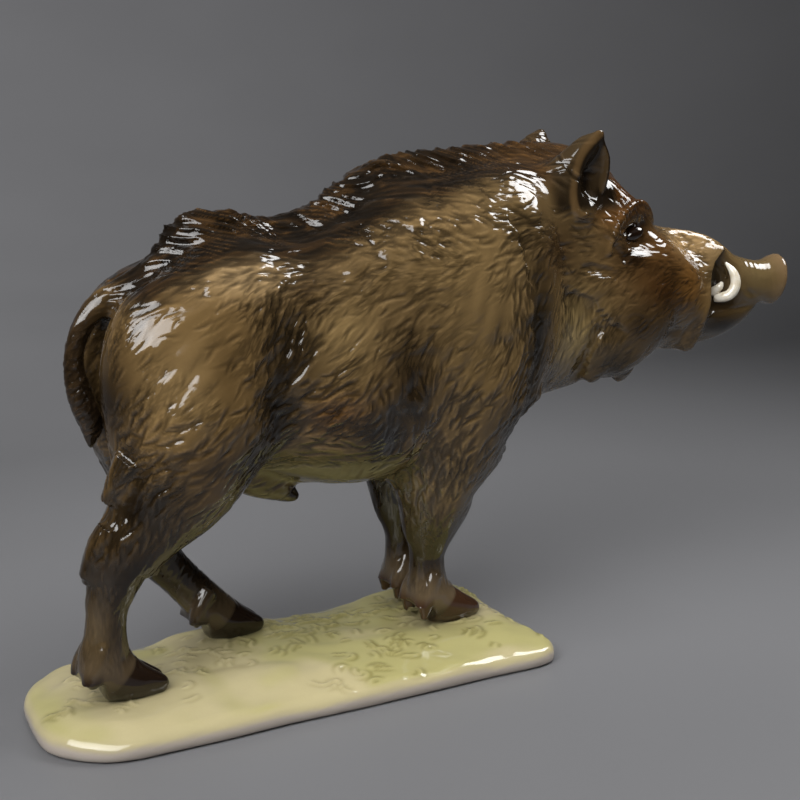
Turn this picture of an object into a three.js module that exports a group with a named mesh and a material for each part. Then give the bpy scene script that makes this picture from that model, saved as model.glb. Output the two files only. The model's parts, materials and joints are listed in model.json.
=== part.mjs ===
// A glazed porcelain wild boar standing on its own ground plinth.
// Millimetres, +Z up, +X towards the boar's head, +Y its left side.
// The origin is the centre of the plinth's flat underside.
// The animal is a field of soft masses blended into one another, as a modeller adds clay to clay.
// The field is turned into triangles, and thinned where the surface is plain.

import * as THREE from "three";
import { mergeVertices } from "three/addons/utils/BufferGeometryUtils.js";
import { edgeTable, triTable } from "three/addons/objects/MarchingCubes.js";

// Driving dimensions
const plinthLength = 240;
const plinthWidth = 104;
const plinthEdge = 9; // height of the rim
const plinthTop = 13; // height of the ground under the hooves
const rimCorners = { nearTail: 34, nearHead: 15, farHead: 24, farTail: 38 }; // radii of the outline
const tailNarrowing = 0.79; // of the near side, at the tail end
const rimPoints = 72;
const jointGap = 0.3; // seam between hoof and ground
const boarShift = 14.5; // the boar's middle plane, off the plinth's middle line
const headTurn = -10; // degrees, towards the boar's right
const neckPivotX = 135; // where the head turns on the neck
const crestHeight = 7; // the mane above the spine
const lockLength = 27; // locks of the coat
const lockWidth = 11;
const lockHeight = 1.5;
const boarTriangles = 8300;
const plinthTriangles = 1400;

// Mesh fineness
const cell = 1.8; // edge of a field cell
const block = 8; // cells along a block that is skipped when it is far from the surface
const aside = 24; // a form further off than this is only known by its bounding ball

const right = -1;
const left = 1;
const bothSides = [right, left];
const { degToRad, lerp, clamp, smoothstep } = THREE.MathUtils;

// Field forms: each is a signed distance, negative inside

// An ellipsoid of three radii, turned by Euler angles in degrees.
function ellipsoid(centre, radii, turn = [0, 0, 0]) {
  const euler = new THREE.Euler(...turn.map(degToRad), "ZYX");
  const place = new THREE.Matrix4().makeRotationFromEuler(euler).setPosition(...centre);
  const e = place.invert().elements;
  const [a, b, c] = radii;
  const least = Math.min(a, b, c);
  const most = Math.max(a, b, c);
  return (x, y, z) => {
    const u = e[0] * x + e[4] * y + e[8] * z + e[12];
    const v = e[1] * x + e[5] * y + e[9] * z + e[13];
    const w = e[2] * x + e[6] * y + e[10] * z + e[14];
    const ball = Math.sqrt(u * u + v * v + w * w) - most;
    if (ball > aside) return ball;
    const near = Math.sqrt((u / a) ** 2 + (v / b) ** 2 + (w / c) ** 2);
    const slope = Math.sqrt((u / a / a) ** 2 + (v / b / b) ** 2 + (w / c / c) ** 2);
    return slope < 1e-6 ? -least : (near * (near - 1)) / slope;
  };
}

// A tapered tube through stops of [x, y, z, radius], smoothed by a spline.
// flat squeezes it across Y, so a leg can be deeper than it is wide.
function limb(stops, flat = 1, steps = 3) {
  const path = new THREE.CatmullRomCurve3(
    stops.map(([x, y, z]) => new THREE.Vector3(x, y / flat, z)),
    false,
    "centripetal",
  );
  const count = (stops.length - 1) * steps;
  const points = path.getPoints(count);
  const swell = new THREE.SplineCurve(stops.map((stop, i) => new THREE.Vector2(i, stop[3])));
  const radii = swell.getPoints(count).map((p) => p.y);
  const scale = Math.min(1, flat);
  const ball = new THREE.Sphere().setFromPoints(points);
  const reach = ball.radius + Math.max(...radii);
  return (x, y, z) => {
    const py = y / flat;
    const { x: cx, y: cy, z: cz } = ball.center;
    const off = Math.sqrt((x - cx) ** 2 + (py - cy) ** 2 + (z - cz) ** 2) - reach;
    if (off > aside) return off * scale;
    let best = Infinity;
    for (let i = 0; i < count; i++) {
      const a = points[i];
      const b = points[i + 1];
      const bx = b.x - a.x;
      const by = b.y - a.y;
      const bz = b.z - a.z;
      const along = ((x - a.x) * bx + (py - a.y) * by + (z - a.z) * bz) / (bx * bx + by * by + bz * bz);
      const t = clamp(along, 0, 1);
      const dx = x - a.x - bx * t;
      const dy = py - a.y - by * t;
      const dz = z - a.z - bz * t;
      const d = Math.sqrt(dx * dx + dy * dy + dz * dz) - lerp(radii[i], radii[i + 1], t);
      if (d < best) best = d;
    }
    return best * scale;
  };
}

// A body lofted along X through stations of [x, top, bottom, half width].
function loft(stations, roundness = 2.3) {
  const first = stations[0][0];
  const last = stations[stations.length - 1][0];
  const tables = [1, 2, 3].map((column) => {
    const curve = new THREE.SplineCurve(stations.map((s) => new THREE.Vector2(s[0], s[column])));
    const line = curve.getPoints(stations.length * 24);
    const heights = [];
    for (let x = first, k = 0; x <= last + 1; x++) {
      while (k < line.length - 2 && line[k + 1].x < x) k++;
      const share = (x - line[k].x) / (line[k + 1].x - line[k].x);
      heights.push(lerp(line[k].y, line[k + 1].y, clamp(share, 0, 1)));
    }
    return heights;
  });
  return (x, y, z) => {
    const at = clamp(x, first, last) - first;
    const k = Math.floor(at);
    const [top, bottom, wide] = tables.map((t) => lerp(t[k], t[k + 1], at - k));
    const tall = (top - bottom) / 2;
    const u = Math.abs(y) / wide;
    const v = Math.abs(z - (top + bottom) / 2) / tall;
    const d = ((u ** roundness + v ** roundness) ** (1 / roundness) - 1) * Math.min(wide, tall);
    const beyond = Math.max(first - x, x - last, 0);
    if (beyond === 0) return d;
    return d > 0 ? Math.sqrt(d * d + beyond * beyond) : beyond;
  };
}

const softUnion = (a, b, k) => {
  const h = Math.max(k - Math.abs(a - b), 0) / k;
  return Math.min(a, b) - (h * h * k) / 4;
};
const softCut = (a, cut, k) => -softUnion(-a, cut, k);

// Adds clay: joins forms to what is there with a blend of k millimetres.
function blend(k, ...forms) {
  return (x, y, z) => {
    let d = forms[0](x, y, z);
    for (let i = 1; i < forms.length; i++) d = softUnion(d, forms[i](x, y, z), k);
    return d;
  };
}

// A row of overlapping tufts from one point to another, each hanging by the vector fall.
function tufts(count, from, to, fall, size) {
  return Array.from({ length: count }, (_, i) => {
    const base = new THREE.Vector3(...from).lerp(new THREE.Vector3(...to), count > 1 ? i / (count - 1) : 0);
    const hang = new THREE.Vector3(...fall).multiplyScalar(i % 2 ? 0.8 : 1);
    const middle = base.clone().addScaledVector(hang, 0.5);
    const tip = base.clone().add(hang);
    return limb([[...base, size], [...middle, size * 0.8], [...tip, size * 0.25]], 1, 2);
  });
}

// Torso

const trunk = loft([
  // x, top, bottom, half width
  [-66, 176, 122, 27],
  [-54, 188, 112, 36],
  [-40, 201, 106, 41],
  [-20, 205, 101, 42],
  [5, 202, 96, 43],
  [30, 212, 92, 46],
  [55, 225, 91, 47],
  [85, 229, 92, 47],
  [110, 231, 101, 43],
  [130, 232, 114, 34],
  [160, 230, 123, 29],
]);
const torso = blend(
  14,
  trunk,
  ellipsoid([36, 0, 134], [58, 47, 46]),
  ellipsoid([102, 0, 122], [25, 29, 30]),
  ...bothSides.flatMap((s) => [
    ellipsoid([92, s * 25, 160], [36, 22, 62], [0, 8, 0]),
    ellipsoid([116, s * 18, 178], [20, 21, 48], [0, -8, 0]),
    ellipsoid([-50, s * 20, 140], [31, 22, 48], [0, -10, 0]),
    ellipsoid([-64, s * 15, 140], [17, 15, 34]),
  ]),
);
const sheath = limb([[-14, 0, 97, 11], [-2, 0, 89, 8], [8, 0, 83, 4.5]]);
const elbowTufts = (s) => tufts(3, [97, s * 25, 112], [106, s * 20, 106], [3, 0, -12], 8);

// Coat: shingled locks over the sides, combed towards the tail on the haunch and downwards on the shoulder
function coatRelief(x, y, z) {
  const side = smoothstep(Math.abs(y), 12, 26);
  const low = smoothstep(z, 104, 122);
  const high = 1 - smoothstep(z, 205, 226);
  const ends = smoothstep(x, -80, -62) * (1 - smoothstep(x, 112, 130));
  const height = lockHeight * side * low * high * ends;
  if (height === 0) return 0;
  const fall = degToRad(lerp(40, 72, smoothstep(x, 0, 110)));
  const [dx, dz] = [x - 40, z - 150];
  const back = -dx * Math.cos(fall) - dz * Math.sin(fall);
  const down = dx * Math.sin(fall) - dz * Math.cos(fall);
  const run = back / lockLength + 0.3 * Math.sin(dx * 0.11 - dz * 0.05);
  const row = Math.floor(run);
  const across = down / lockWidth + 0.5 * (row & 1) + 0.3 * Math.sin(row * 2.1);
  const along = run - row;
  const off = 2 * (across - Math.floor(across)) - 1;
  return height * (1 - off * off) * (0.3 + 0.7 * along) * (1 - smoothstep(along, 0.86, 1));
}

// Legs

const soleZ = plinthTop + jointGap;

function hoof(x, y, length) {
  const toe = (t) => limb([
    [x - length * 0.3, y + t * 3.6, soleZ + 9, 7.6],
    [x + length * 0.08, y + t * 4.2, soleZ + 6, 7.2],
    [x + length * 0.34, y + t * 3.6, soleZ + 3, 4.6],
  ], 0.82);
  const dewclaw = (t) => limb([
    [x - length * 0.34, y + t * 6, soleZ + 15, 5],
    [x - length * 0.47, y + t * 7, soleZ + 10, 3.6],
    [x - length * 0.5, y + t * 7.4, soleZ + 6, 1.8],
  ]);
  return blend(2.5, toe(right), toe(left), dewclaw(right), dewclaw(left));
}

const foreFoot = { [right]: 83, [left]: 87 };
function foreLeg(side) {
  const x = foreFoot[side];
  const y = side * 15;
  const arm = limb([
    [x + 4, side * 25, 128, 27],
    [x - 4, side * 23, 100, 24],
    [x - 8, side * 19, 80, 19.5],
    [x - 10, side * 17, 64, 14],
    [x - 11, y, 49, 9],
    [x - 11, y, 38, 9],
    [x - 10, y, 29, 10.4],
    [x - 4, y, 22, 9.5],
  ], 0.9);
  const fringe = tufts(4, [x - 24, side * 20, 92], [x - 17, side * 16, 66], [-4, 0, -12], 6);
  return blend(4, arm, hoof(x, y, 38), ...fringe);
}

const hindFoot = { [right]: -80, [left]: -17 };
const hindBones = {
  // x, z, radius from the thigh to the pastern
  [right]: [
    [-46, 128, 29], [-54, 108, 27], [-66, 92, 20], [-78, 78, 16], [-86, 62, 11],
    [-88, 50, 8.6], [-89, 39, 9.4], [-90, 30, 11], [-84, 23, 10],
  ],
  [left]: [
    [-48, 128, 27], [-47, 108, 25], [-50, 90, 18], [-55, 72, 13.5], [-49, 56, 10.5],
    [-40, 45, 9.2], [-30, 33, 9.6], [-25, 26, 11], [-19, 21, 10],
  ],
};
const hindFringe = [
  ...tufts(3, [-90, right * 21, 76], [-88, right * 21, 64], [-4, 0, -9], 6),
  ...tufts(3, [-64, right * 19, 82], [-73, right * 19, 72], [4, 0, -8], 6),
];
function hindLeg(side) {
  const bones = hindBones[side];
  const stops = bones.map(([x, z, r], i) => [x, side * lerp(24, 20, i / (bones.length - 1)), z, r]);
  const fringe = side === right ? hindFringe : [];
  return blend(4, limb(stops, 0.84), hoof(hindFoot[side], side * 20, 38), ...fringe);
}

// Tail

const tail = limb([
  [-62, 0, 181, 8],
  [-77, 0, 177, 5.6],
  [-87, 0, 165, 4.6],
  [-90, 0, 150, 4.6],
  [-87, -1, 136, 6],
  [-84, -2, 126, 5],
  [-86, -3, 117, 1.4],
], 0.9, 5);

// Head, in its own frame: x runs forward from the neck's pivot, and it is turned afterwards

const skull = loft([
  // x, top, bottom, half width
  [-10, 229, 125, 28],
  [14, 233, 124, 29],
  [32, 232, 124, 29],
  [46, 223, 127, 28],
  [58, 208, 131, 26],
  [70, 199.5, 134, 22.5],
  [82, 196.5, 135, 19.5],
  [94, 194, 136, 17],
  [104, 190.5, 139, 15.5],
]);
const snout = loft([
  [88, 193, 152, 15.5],
  [104, 190, 153, 14],
  [117, 184, 154, 12.5],
  [126, 180, 155, 11.2],
  [137, 177.5, 155.5, 10.5],
  [146, 178.5, 155, 11],
]);
const noseDisc = ellipsoid([148.5, 0, 168], [3.8, 12.8, 13.6], [0, 8, 0]);
const lowerJaw = loft([
  [80, 164, 134, 15],
  [98, 164, 136, 13.5],
  [112, 164, 138, 12],
  [123, 163, 142, 9.5],
  [131, 162, 147, 7],
  [136, 160, 152, 5],
]);

function face(side) {
  return [
    limb([[34, side * 24, 197, 6], [46, side * 21.5, 204, 7], [57, side * 13, 203.5, 6.5]]),
    ellipsoid([44, side * 22, 156], [27, 12, 26]),
    ellipsoid([66, side * 18, 176], [24, 8, 14], [0, 12, 0]),
  ];
}
const lip = (side) => limb([
  [108, side * 10.5, 185, 3],
  [100, side * 13, 175, 4.6],
  [94.5, side * 13.6, 162, 5],
  [92, side * 13, 148, 5],
  [90, side * 10, 138, 5],
]);
const lipPad = (side) => ellipsoid([112, side * 11, 163], [8, 5, 8]);
const cheekTufts = (side) => [
  ...tufts(4, [24, side * 27, 172], [46, side * 24, 136], [-9, 0, -7], 7),
  ...tufts(3, [34, side * 19, 136], [52, side * 13, 133], [-3, 0, -12], 7),
];
const eyeSocket = (side) => ellipsoid([51, side * 27.5, 193.5], [9.5, 6, 5], [0, 14, 0]);
const eyeball = (side) => ellipsoid([50, side * 22, 193.5], [4.2, 3.2, 3.4]);
const mouthHollow = (side) => ellipsoid([112, side * 17.5, 168], [9, 5, 13], [0, -14, 0]);
const tusk = (side) => limb([
  [108, side * 13, 159, 3.4],
  [114, side * 15.5, 163, 3.6],
  [115.5, side * 16.5, 170, 3.2],
  [109, side * 16, 178, 1.4],
]);

function ear(side) {
  const shell = limb([
    [11, side * 23, 206, 14],
    [14, side * 25.5, 220, 14.5],
    [20, side * 28, 233, 10.5],
    [24.5, side * 30.5, 243, 3.5],
  ], 0.6);
  const hollow = limb([
    [22, side * 31, 211, 7],
    [25, side * 33, 222, 9],
    [28.5, side * 34.5, 233, 6],
    [30, side * 35, 240, 2.5],
  ], 0.6);
  return (x, y, z) => softCut(shell(x, y, z), hollow(x, y, z), 1.6);
}
const earLobe = (side) => limb([
  [14, side * 29, 213, 4.4],
  [19, side * 29.5, 208, 4.6],
  [24, side * 28, 213, 3.6],
]);

const soft = blend(9, skull, ...bothSides.flatMap(face));
const muzzle = blend(5, snout, noseDisc);
const firm = bothSides.flatMap((s) => [lip(s), lipPad(s), ...cheekTufts(s), ear(s), earLobe(s)]);
const sockets = bothSides.map(eyeSocket);
const hollows = bothSides.map(mouthHollow);
const crisp = bothSides.flatMap((s) => [eyeball(s), tusk(s)]);
function headLocal(x, y, z) {
  let d = softUnion(soft(x, y, z), muzzle(x, y, z), 4);
  d = softUnion(d, lowerJaw(x, y, z), 3);
  for (const cut of hollows) d = softCut(d, cut(x, y, z), 3);
  for (const form of firm) d = softUnion(d, form(x, y, z), 4);
  for (const cut of sockets) d = softCut(d, cut(x, y, z), 4);
  for (const form of crisp) d = softUnion(d, form(x, y, z), 0.8);
  return d;
}
const turn = { cos: Math.cos(degToRad(headTurn)), sin: Math.sin(degToRad(headTurn)) };
function head(x, y, z) {
  const dx = x - neckPivotX;
  return headLocal(turn.cos * dx + turn.sin * y, -turn.sin * dx + turn.cos * y, z);
}

// Mane: a narrow crest, and on it two rows of locks combed back

const maneLine = new THREE.SplineCurve([
  [166, 232], [145, 235], [121, 234], [93, 232], [66, 230], [50, 226], [35, 218], [18, 208],
  [0, 204], [-22, 207], [-39, 206], [-50, 195], [-62, 184], [-73, 176],
].map(([x, z]) => new THREE.Vector2(x, z)));
const manePairs = 34;
function maneForms() {
  const crest = maneLine.getSpacedPoints(20).map(({ x, y }) => [x, 0, y - 2, 6]);
  const locks = Array.from({ length: manePairs }, (_, i) => {
    const share = i / (manePairs - 1);
    const base = maneLine.getPointAt(share);
    const along = maneLine.getTangentAt(share);
    const lift = crestHeight * smoothstep(share, -0.1, 0.2) * (1 - 0.7 * smoothstep(share, 0.78, 0.86));
    const side = i % 2 ? left : right;
    return limb([
      [base.x - along.x * 14, side * 8, base.y - along.y * 14 - 9, 4.6],
      [base.x - along.x * 3, side * 4.5, base.y - along.y * 3 - 1, 4.6],
      [base.x + along.x * 10, side * 1.6, base.y + along.y * 10 + lift - 3, 2.4],
    ], 1, 2);
  });
  return [limb(crest, 0.8, 2), ...locks];
}
const mane = blend(3, ...maneForms());

// Whole animal

const legs = bothSides.flatMap((s) => [foreLeg(s), hindLeg(s)]);
const elbows = bothSides.flatMap(elbowTufts);
const buttockCleft = ellipsoid([-84, 0, 146], [12, 5, 26]);
function boarField(x, y, z) {
  let d = torso(x, y, z);
  d = softUnion(d, head(x, y, z), 12);
  for (const leg of legs) d = softUnion(d, leg(x, y, z), 10);
  d = softUnion(d, sheath(x, y, z), 6);
  for (const tuft of elbows) d = softUnion(d, tuft(x, y, z), 5);
  d -= coatRelief(x, y, z);
  d = softUnion(d, mane(x, y, z), 4);
  d = softCut(d, buttockCleft(x, y, z), 8);
  d = softUnion(d, tail(x, y, z), 2.5);
  return Math.max(d, soleZ - z);
}

// Field to triangles

const cubeCorners = [[0, 0, 0], [1, 0, 0], [1, 1, 0], [0, 1, 0], [0, 0, 1], [1, 0, 1], [1, 1, 1], [0, 1, 1]];
const cubeEdges = [
  [0, 1], [1, 2], [2, 3], [3, 0], [4, 5], [5, 6], [6, 7], [7, 4], [0, 4], [1, 5], [2, 6], [3, 7],
];

function polygonise(field, box) {
  const size = box.getSize(new THREE.Vector3());
  const count = size.toArray().map((length) => Math.ceil(length / cell / block) * block);
  const [nx, ny, nz] = count.map((n) => n + 1);
  const values = new Float32Array(nx * ny * nz).fill(1);
  const index = (i, j, k) => (k * ny + j) * nx + i;
  const at = (i, j, k) => [box.min.x + i * cell, box.min.y + j * cell, box.min.z + k * cell];
  const reach = block * cell * 0.87 * 1.7;
  const live = [];
  for (let k = 0; k < nz - 1; k += block)
    for (let j = 0; j < ny - 1; j += block)
      for (let i = 0; i < nx - 1; i += block) {
        const centre = field(...at(i + block / 2, j + block / 2, k + block / 2));
        if (Math.abs(centre) < reach) live.push([i, j, k]);
        const filler = centre < 0 ? -1 : 1;
        for (let c = 0; c <= block; c++)
          for (let b = 0; b <= block; b++)
            for (let a = 0; a <= block; a++) values[index(i + a, j + b, k + c)] = filler;
      }
  const known = new Uint8Array(values.length);
  for (const [i, j, k] of live)
    for (let c = 0; c <= block; c++)
      for (let b = 0; b <= block; b++)
        for (let a = 0; a <= block; a++) {
          const n = index(i + a, j + b, k + c);
          if (known[n]) continue;
          known[n] = 1;
          values[n] = field(...at(i + a, j + b, k + c)) || 1e-6;
        }
  const positions = [];
  const faces = [];
  const made = new Map();
  const vertexOn = (i, j, k, edge) => {
    const [p, q] = cubeEdges[edge].map((c) => cubeCorners[c].map((v, axis) => v + [i, j, k][axis]));
    const [m, n] = [index(...p), index(...q)].sort((a, b) => a - b);
    const key = m * values.length + n;
    if (made.has(key)) return made.get(key);
    const [vp, vq] = [values[index(...p)], values[index(...q)]];
    const share = clamp(vp / (vp - vq), 0.02, 0.98);
    const [pp, pq] = [at(...p), at(...q)];
    positions.push(...pp.map((v, axis) => lerp(v, pq[axis], share)));
    made.set(key, positions.length / 3 - 1);
    return positions.length / 3 - 1;
  };
  for (const [bi, bj, bk] of live)
    for (let k = bk; k < bk + block; k++)
      for (let j = bj; j < bj + block; j++)
        for (let i = bi; i < bi + block; i++) {
          let kind = 0;
          cubeCorners.forEach(([a, b, c], n) => {
            if (values[index(i + a, j + b, k + c)] < 0) kind |= 1 << n;
          });
          if (!edgeTable[kind]) continue;
          for (let n = kind * 16; triTable[n] !== -1; n += 3)
            faces.push([0, 2, 1].map((turnOf) => vertexOn(i, j, k, triTable[n + turnOf])));
        }
  return { positions, faces };
}

// Thinning: collapses the edges that change the surface least, by the sum of squared distances to its planes

function thin({ positions, faces }, wanted) {
  const points = [];
  for (let i = 0; i < positions.length; i += 3) points.push(new THREE.Vector3().fromArray(positions, i));
  const quadrics = points.map(() => new Float64Array(10));
  const around = points.map(() => new Set());
  const alive = faces.map(() => true);
  const normal = (a, b, c) => b.clone().sub(a).cross(c.clone().sub(a));
  faces.forEach((face, f) => {
    const [a, b, c] = face.map((v) => points[v]);
    const n = normal(a, b, c);
    const area = n.length() || 1e-9;
    n.divideScalar(area);
    const plane = [n.x, n.y, n.z, -n.dot(a)];
    for (const v of face) {
      around[v].add(f);
      for (let i = 0, m = 0; i < 4; i++)
        for (let j = i; j < 4; j++, m++) quadrics[v][m] += plane[i] * plane[j] * area;
    }
  });
  const neighbours = (v) => {
    const found = new Set();
    for (const f of around[v]) for (const u of faces[f]) if (u !== v) found.add(u);
    return found;
  };
  const costAt = (q, p) =>
    q[0] * p.x * p.x + 2 * q[1] * p.x * p.y + 2 * q[2] * p.x * p.z + 2 * q[3] * p.x +
    q[4] * p.y * p.y + 2 * q[5] * p.y * p.z + 2 * q[6] * p.y + q[7] * p.z * p.z + 2 * q[8] * p.z + q[9];
  const version = new Uint32Array(points.length);
  const heap = [];
  const up = (i) => {
    for (let parent; i > 0 && heap[(parent = (i - 1) >> 1)].cost > heap[i].cost; i = parent)
      [heap[i], heap[parent]] = [heap[parent], heap[i]];
  };
  const down = (i) => {
    for (let least = i; ; i = least) {
      for (const child of [2 * i + 1, 2 * i + 2])
        if (child < heap.length && heap[child].cost < heap[least].cost) least = child;
      if (least === i) return;
      [heap[i], heap[least]] = [heap[least], heap[i]];
    }
  };
  const pull = () => {
    const top = heap[0];
    const last = heap.pop();
    if (heap.length) {
      heap[0] = last;
      down(0);
    }
    return top;
  };
  const offer = (u, v) => {
    const q = quadrics[u].map((value, i) => value + quadrics[v][i]);
    const middle = points[u].clone().lerp(points[v], 0.5);
    const solve = new THREE.Matrix3().set(q[0], q[1], q[2], q[1], q[4], q[5], q[2], q[5], q[7]);
    const choices = [points[u], points[v], middle];
    if (Math.abs(solve.determinant()) > 1e-3) {
      const best = new THREE.Vector3(-q[3], -q[6], -q[8]).applyMatrix3(solve.invert());
      if (best.distanceTo(middle) < 2 * points[u].distanceTo(points[v])) choices.push(best);
    }
    const costs = choices.map((p) => costAt(q, p) + 1e-4 * points[u].distanceToSquared(points[v]));
    const cost = Math.min(...costs);
    heap.push({ cost, u, v, to: choices[costs.indexOf(cost)].clone(), stamp: version[u] + version[v] });
    up(heap.length - 1);
  };
  const flips = (v, other, to) => {
    for (const f of around[v]) {
      const face = faces[f];
      if (face.includes(other)) continue;
      const before = normal(...face.map((w) => points[w]));
      const after = normal(...face.map((w) => (w === v ? to : points[w])));
      if (before.dot(after) < 0.35 * before.length() * after.length()) return true;
    }
    return false;
  };
  points.forEach((_, u) => {
    for (const v of neighbours(u)) if (u < v) offer(u, v);
  });
  let left = faces.length;
  while (left > wanted && heap.length) {
    const { u, v, to, stamp } = pull();
    if (!around[u].size || !around[v].size || stamp !== version[u] + version[v]) continue;
    const shared = [...neighbours(u)].filter((w) => neighbours(v).has(w));
    if (shared.length !== 2 || flips(u, v, to) || flips(v, u, to)) continue;
    for (const f of [...around[v]]) {
      const face = faces[f];
      if (face.includes(u)) {
        alive[f] = false;
        left--;
        for (const w of face) around[w].delete(f);
      } else {
        faces[f] = face.map((w) => (w === v ? u : w));
        around[u].add(f);
      }
    }
    around[v].clear();
    points[u].copy(to);
    quadrics[u].forEach((_, i) => (quadrics[u][i] += quadrics[v][i]));
    version[u]++;
    version[v]++;
    for (const w of neighbours(u)) offer(Math.min(u, w), Math.max(u, w));
  }
  return { points, faces: faces.filter((_, f) => alive[f]) };
}

function geometryOf({ points, faces }) {
  const loose = new THREE.BufferGeometry();
  loose.setAttribute("position", new THREE.Float32BufferAttribute(points.flatMap((p) => p.toArray()), 3));
  loose.setIndex(faces.flat());
  const geometry = mergeVertices(loose.toNonIndexed(), 1e-4);
  geometry.computeVertexNormals();
  return geometry;
}

// Grinds a face flat: what lies within a hair of the level is brought to it.
function groundFlat(mesh, level) {
  for (const p of mesh.points) if (p.z < level + 0.4) p.z = level;
  return mesh;
}

function boarGeometry() {
  const box = new THREE.Box3(new THREE.Vector3(-118, -62, 6), new THREE.Vector3(304, 62, 262));
  return geometryOf(groundFlat(thin(polygonise(boarField, box), boarTriangles), soleZ));
}

// Plinth: a slab with a hand-cut edge, its ground a little uneven and trodden flat under each hoof

// The outline is a rectangle with four unlike corners, narrower at the tail along its near side.
function rimOutline() {
  const [x, y] = [plinthLength / 2, plinthWidth / 2];
  const { nearTail, nearHead, farHead, farTail } = rimCorners;
  const path = new THREE.Path();
  path.absarc(x - nearHead, -y + nearHead, nearHead, -Math.PI / 2, 0);
  path.absarc(x - farHead, y - farHead, farHead, 0, Math.PI / 2);
  path.absarc(-x + farTail, y - farTail, farTail, Math.PI / 2, Math.PI);
  path.absarc(-x + nearTail, -y + nearTail, nearTail, Math.PI, Math.PI * 1.5);
  path.closePath();
  return path.getSpacedPoints(rimPoints).slice(0, rimPoints).map((p, i) => {
    const angle = (i / rimPoints) * 2 * Math.PI;
    const wander = 0.99 + 0.007 * Math.sin(7 * angle + 0.6) + 0.005 * Math.sin(13 * angle + 2);
    const narrow = p.y < 0 ? lerp(tailNarrowing, 1, (p.x + x) / plinthLength) : 1;
    return new THREE.Vector2(p.x * wander, p.y * wander * narrow);
  });
}
const rim = rimOutline();

// Signed distance in plan to the outline, negative inside.
function offRim(x, y) {
  let nearest = Infinity;
  let inside = false;
  rim.forEach((a, i) => {
    const b = rim[(i + 1) % rim.length];
    const [ex, ey] = [b.x - a.x, b.y - a.y];
    const t = clamp(((x - a.x) * ex + (y - a.y) * ey) / (ex * ex + ey * ey), 0, 1);
    nearest = Math.min(nearest, Math.hypot(x - a.x - ex * t, y - a.y - ey * t));
    if (a.y > y !== b.y > y && x < a.x + (ex * (y - a.y)) / ey) inside = !inside;
  });
  return inside ? -nearest : nearest;
}

const hoofPrints = bothSides.flatMap((s) => [
  new THREE.Vector2(foreFoot[s] - 2, s * 15 + boarShift),
  new THREE.Vector2(hindFoot[s] - 2, s * 20 + boarShift),
]);

function groundHeight(x, y, inset) {
  const dome = lerp(plinthEdge, plinthTop, smoothstep(inset, -4, 34));
  const broad = Math.sin(x * 0.09 + 1.7 * Math.sin(y * 0.08 + 1)) * Math.sin(y * 0.11 - x * 0.03);
  const fine = Math.sin(x * 0.21 + 2 * Math.sin(y * 0.13)) * Math.sin(y * 0.25 + 1.4 * Math.sin(x * 0.1));
  const clods = 0.6 * broad + 0.5 * fine;
  const nearest = Math.min(...hoofPrints.map((p) => Math.hypot(p.x - x, p.y - y)));
  return lerp(dome + clods, plinthTop, 1 - smoothstep(nearest, 24, 36));
}

function plinthField(x, y, z) {
  const edge = offRim(x, y);
  const ground = z - groundHeight(x, y, -edge);
  return softCut(softCut(edge, -ground, 7), z, 3);
}

function plinthGeometry() {
  const size = new THREE.Vector3(plinthLength, plinthWidth, 0).multiplyScalar(0.5).addScalar(6);
  const box = new THREE.Box3(size.clone().negate().setZ(-3.5 * cell), size.setZ(plinthTop + 8));
  return geometryOf(groundFlat(thin(polygonise(plinthField, box), plinthTriangles), 0));
}

// Scene

function glaze(name, color) {
  return new THREE.MeshStandardMaterial({ name, color, roughness: 0.12, metalness: 0 });
}

const boar = new THREE.Mesh(boarGeometry(), glaze("brown_glaze", 0x6b5334));
boar.name = "boar";
boar.position.y = boarShift;
boar.updateMatrix();

const plinth = new THREE.Mesh(plinthGeometry(), glaze("ground_glaze", 0xd3cba0));
plinth.name = "plinth";

const figurine = new THREE.Group();
figurine.name = "boar_figurine";
figurine.add(plinth, boar);

export default figurine;
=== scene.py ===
import json
import math

import bpy
import numpy as np
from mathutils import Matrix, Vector, kdtree

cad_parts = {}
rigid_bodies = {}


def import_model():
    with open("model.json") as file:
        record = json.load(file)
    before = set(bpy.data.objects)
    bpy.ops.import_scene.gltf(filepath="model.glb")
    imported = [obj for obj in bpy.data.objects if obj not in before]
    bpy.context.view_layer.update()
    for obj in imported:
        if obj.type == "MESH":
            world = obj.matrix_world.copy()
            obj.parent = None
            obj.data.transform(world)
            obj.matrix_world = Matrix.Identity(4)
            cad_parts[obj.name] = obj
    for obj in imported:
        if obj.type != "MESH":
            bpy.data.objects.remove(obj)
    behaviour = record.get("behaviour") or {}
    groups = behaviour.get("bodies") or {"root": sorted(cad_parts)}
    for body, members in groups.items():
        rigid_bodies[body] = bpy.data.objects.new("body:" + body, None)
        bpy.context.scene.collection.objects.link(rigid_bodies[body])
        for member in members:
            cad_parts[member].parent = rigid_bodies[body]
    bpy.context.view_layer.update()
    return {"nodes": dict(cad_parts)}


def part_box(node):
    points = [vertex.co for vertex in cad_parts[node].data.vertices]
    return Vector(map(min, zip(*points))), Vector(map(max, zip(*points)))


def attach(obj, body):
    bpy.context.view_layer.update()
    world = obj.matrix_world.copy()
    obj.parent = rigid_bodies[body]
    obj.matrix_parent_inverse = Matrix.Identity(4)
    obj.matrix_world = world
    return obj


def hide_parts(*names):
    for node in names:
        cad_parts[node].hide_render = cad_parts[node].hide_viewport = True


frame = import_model()
mm = 0.001
rng = np.random.default_rng(41)
print("frame loaded:", sorted(frame["nodes"]))


# selection, copies and modifiers
def makeActive(piece):
    if bpy.context.object and bpy.context.object.mode != "OBJECT":
        bpy.ops.object.mode_set(mode="OBJECT")
    bpy.ops.object.select_all(action="DESELECT")
    piece.select_set(True)
    bpy.context.view_layer.objects.active = piece


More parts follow.
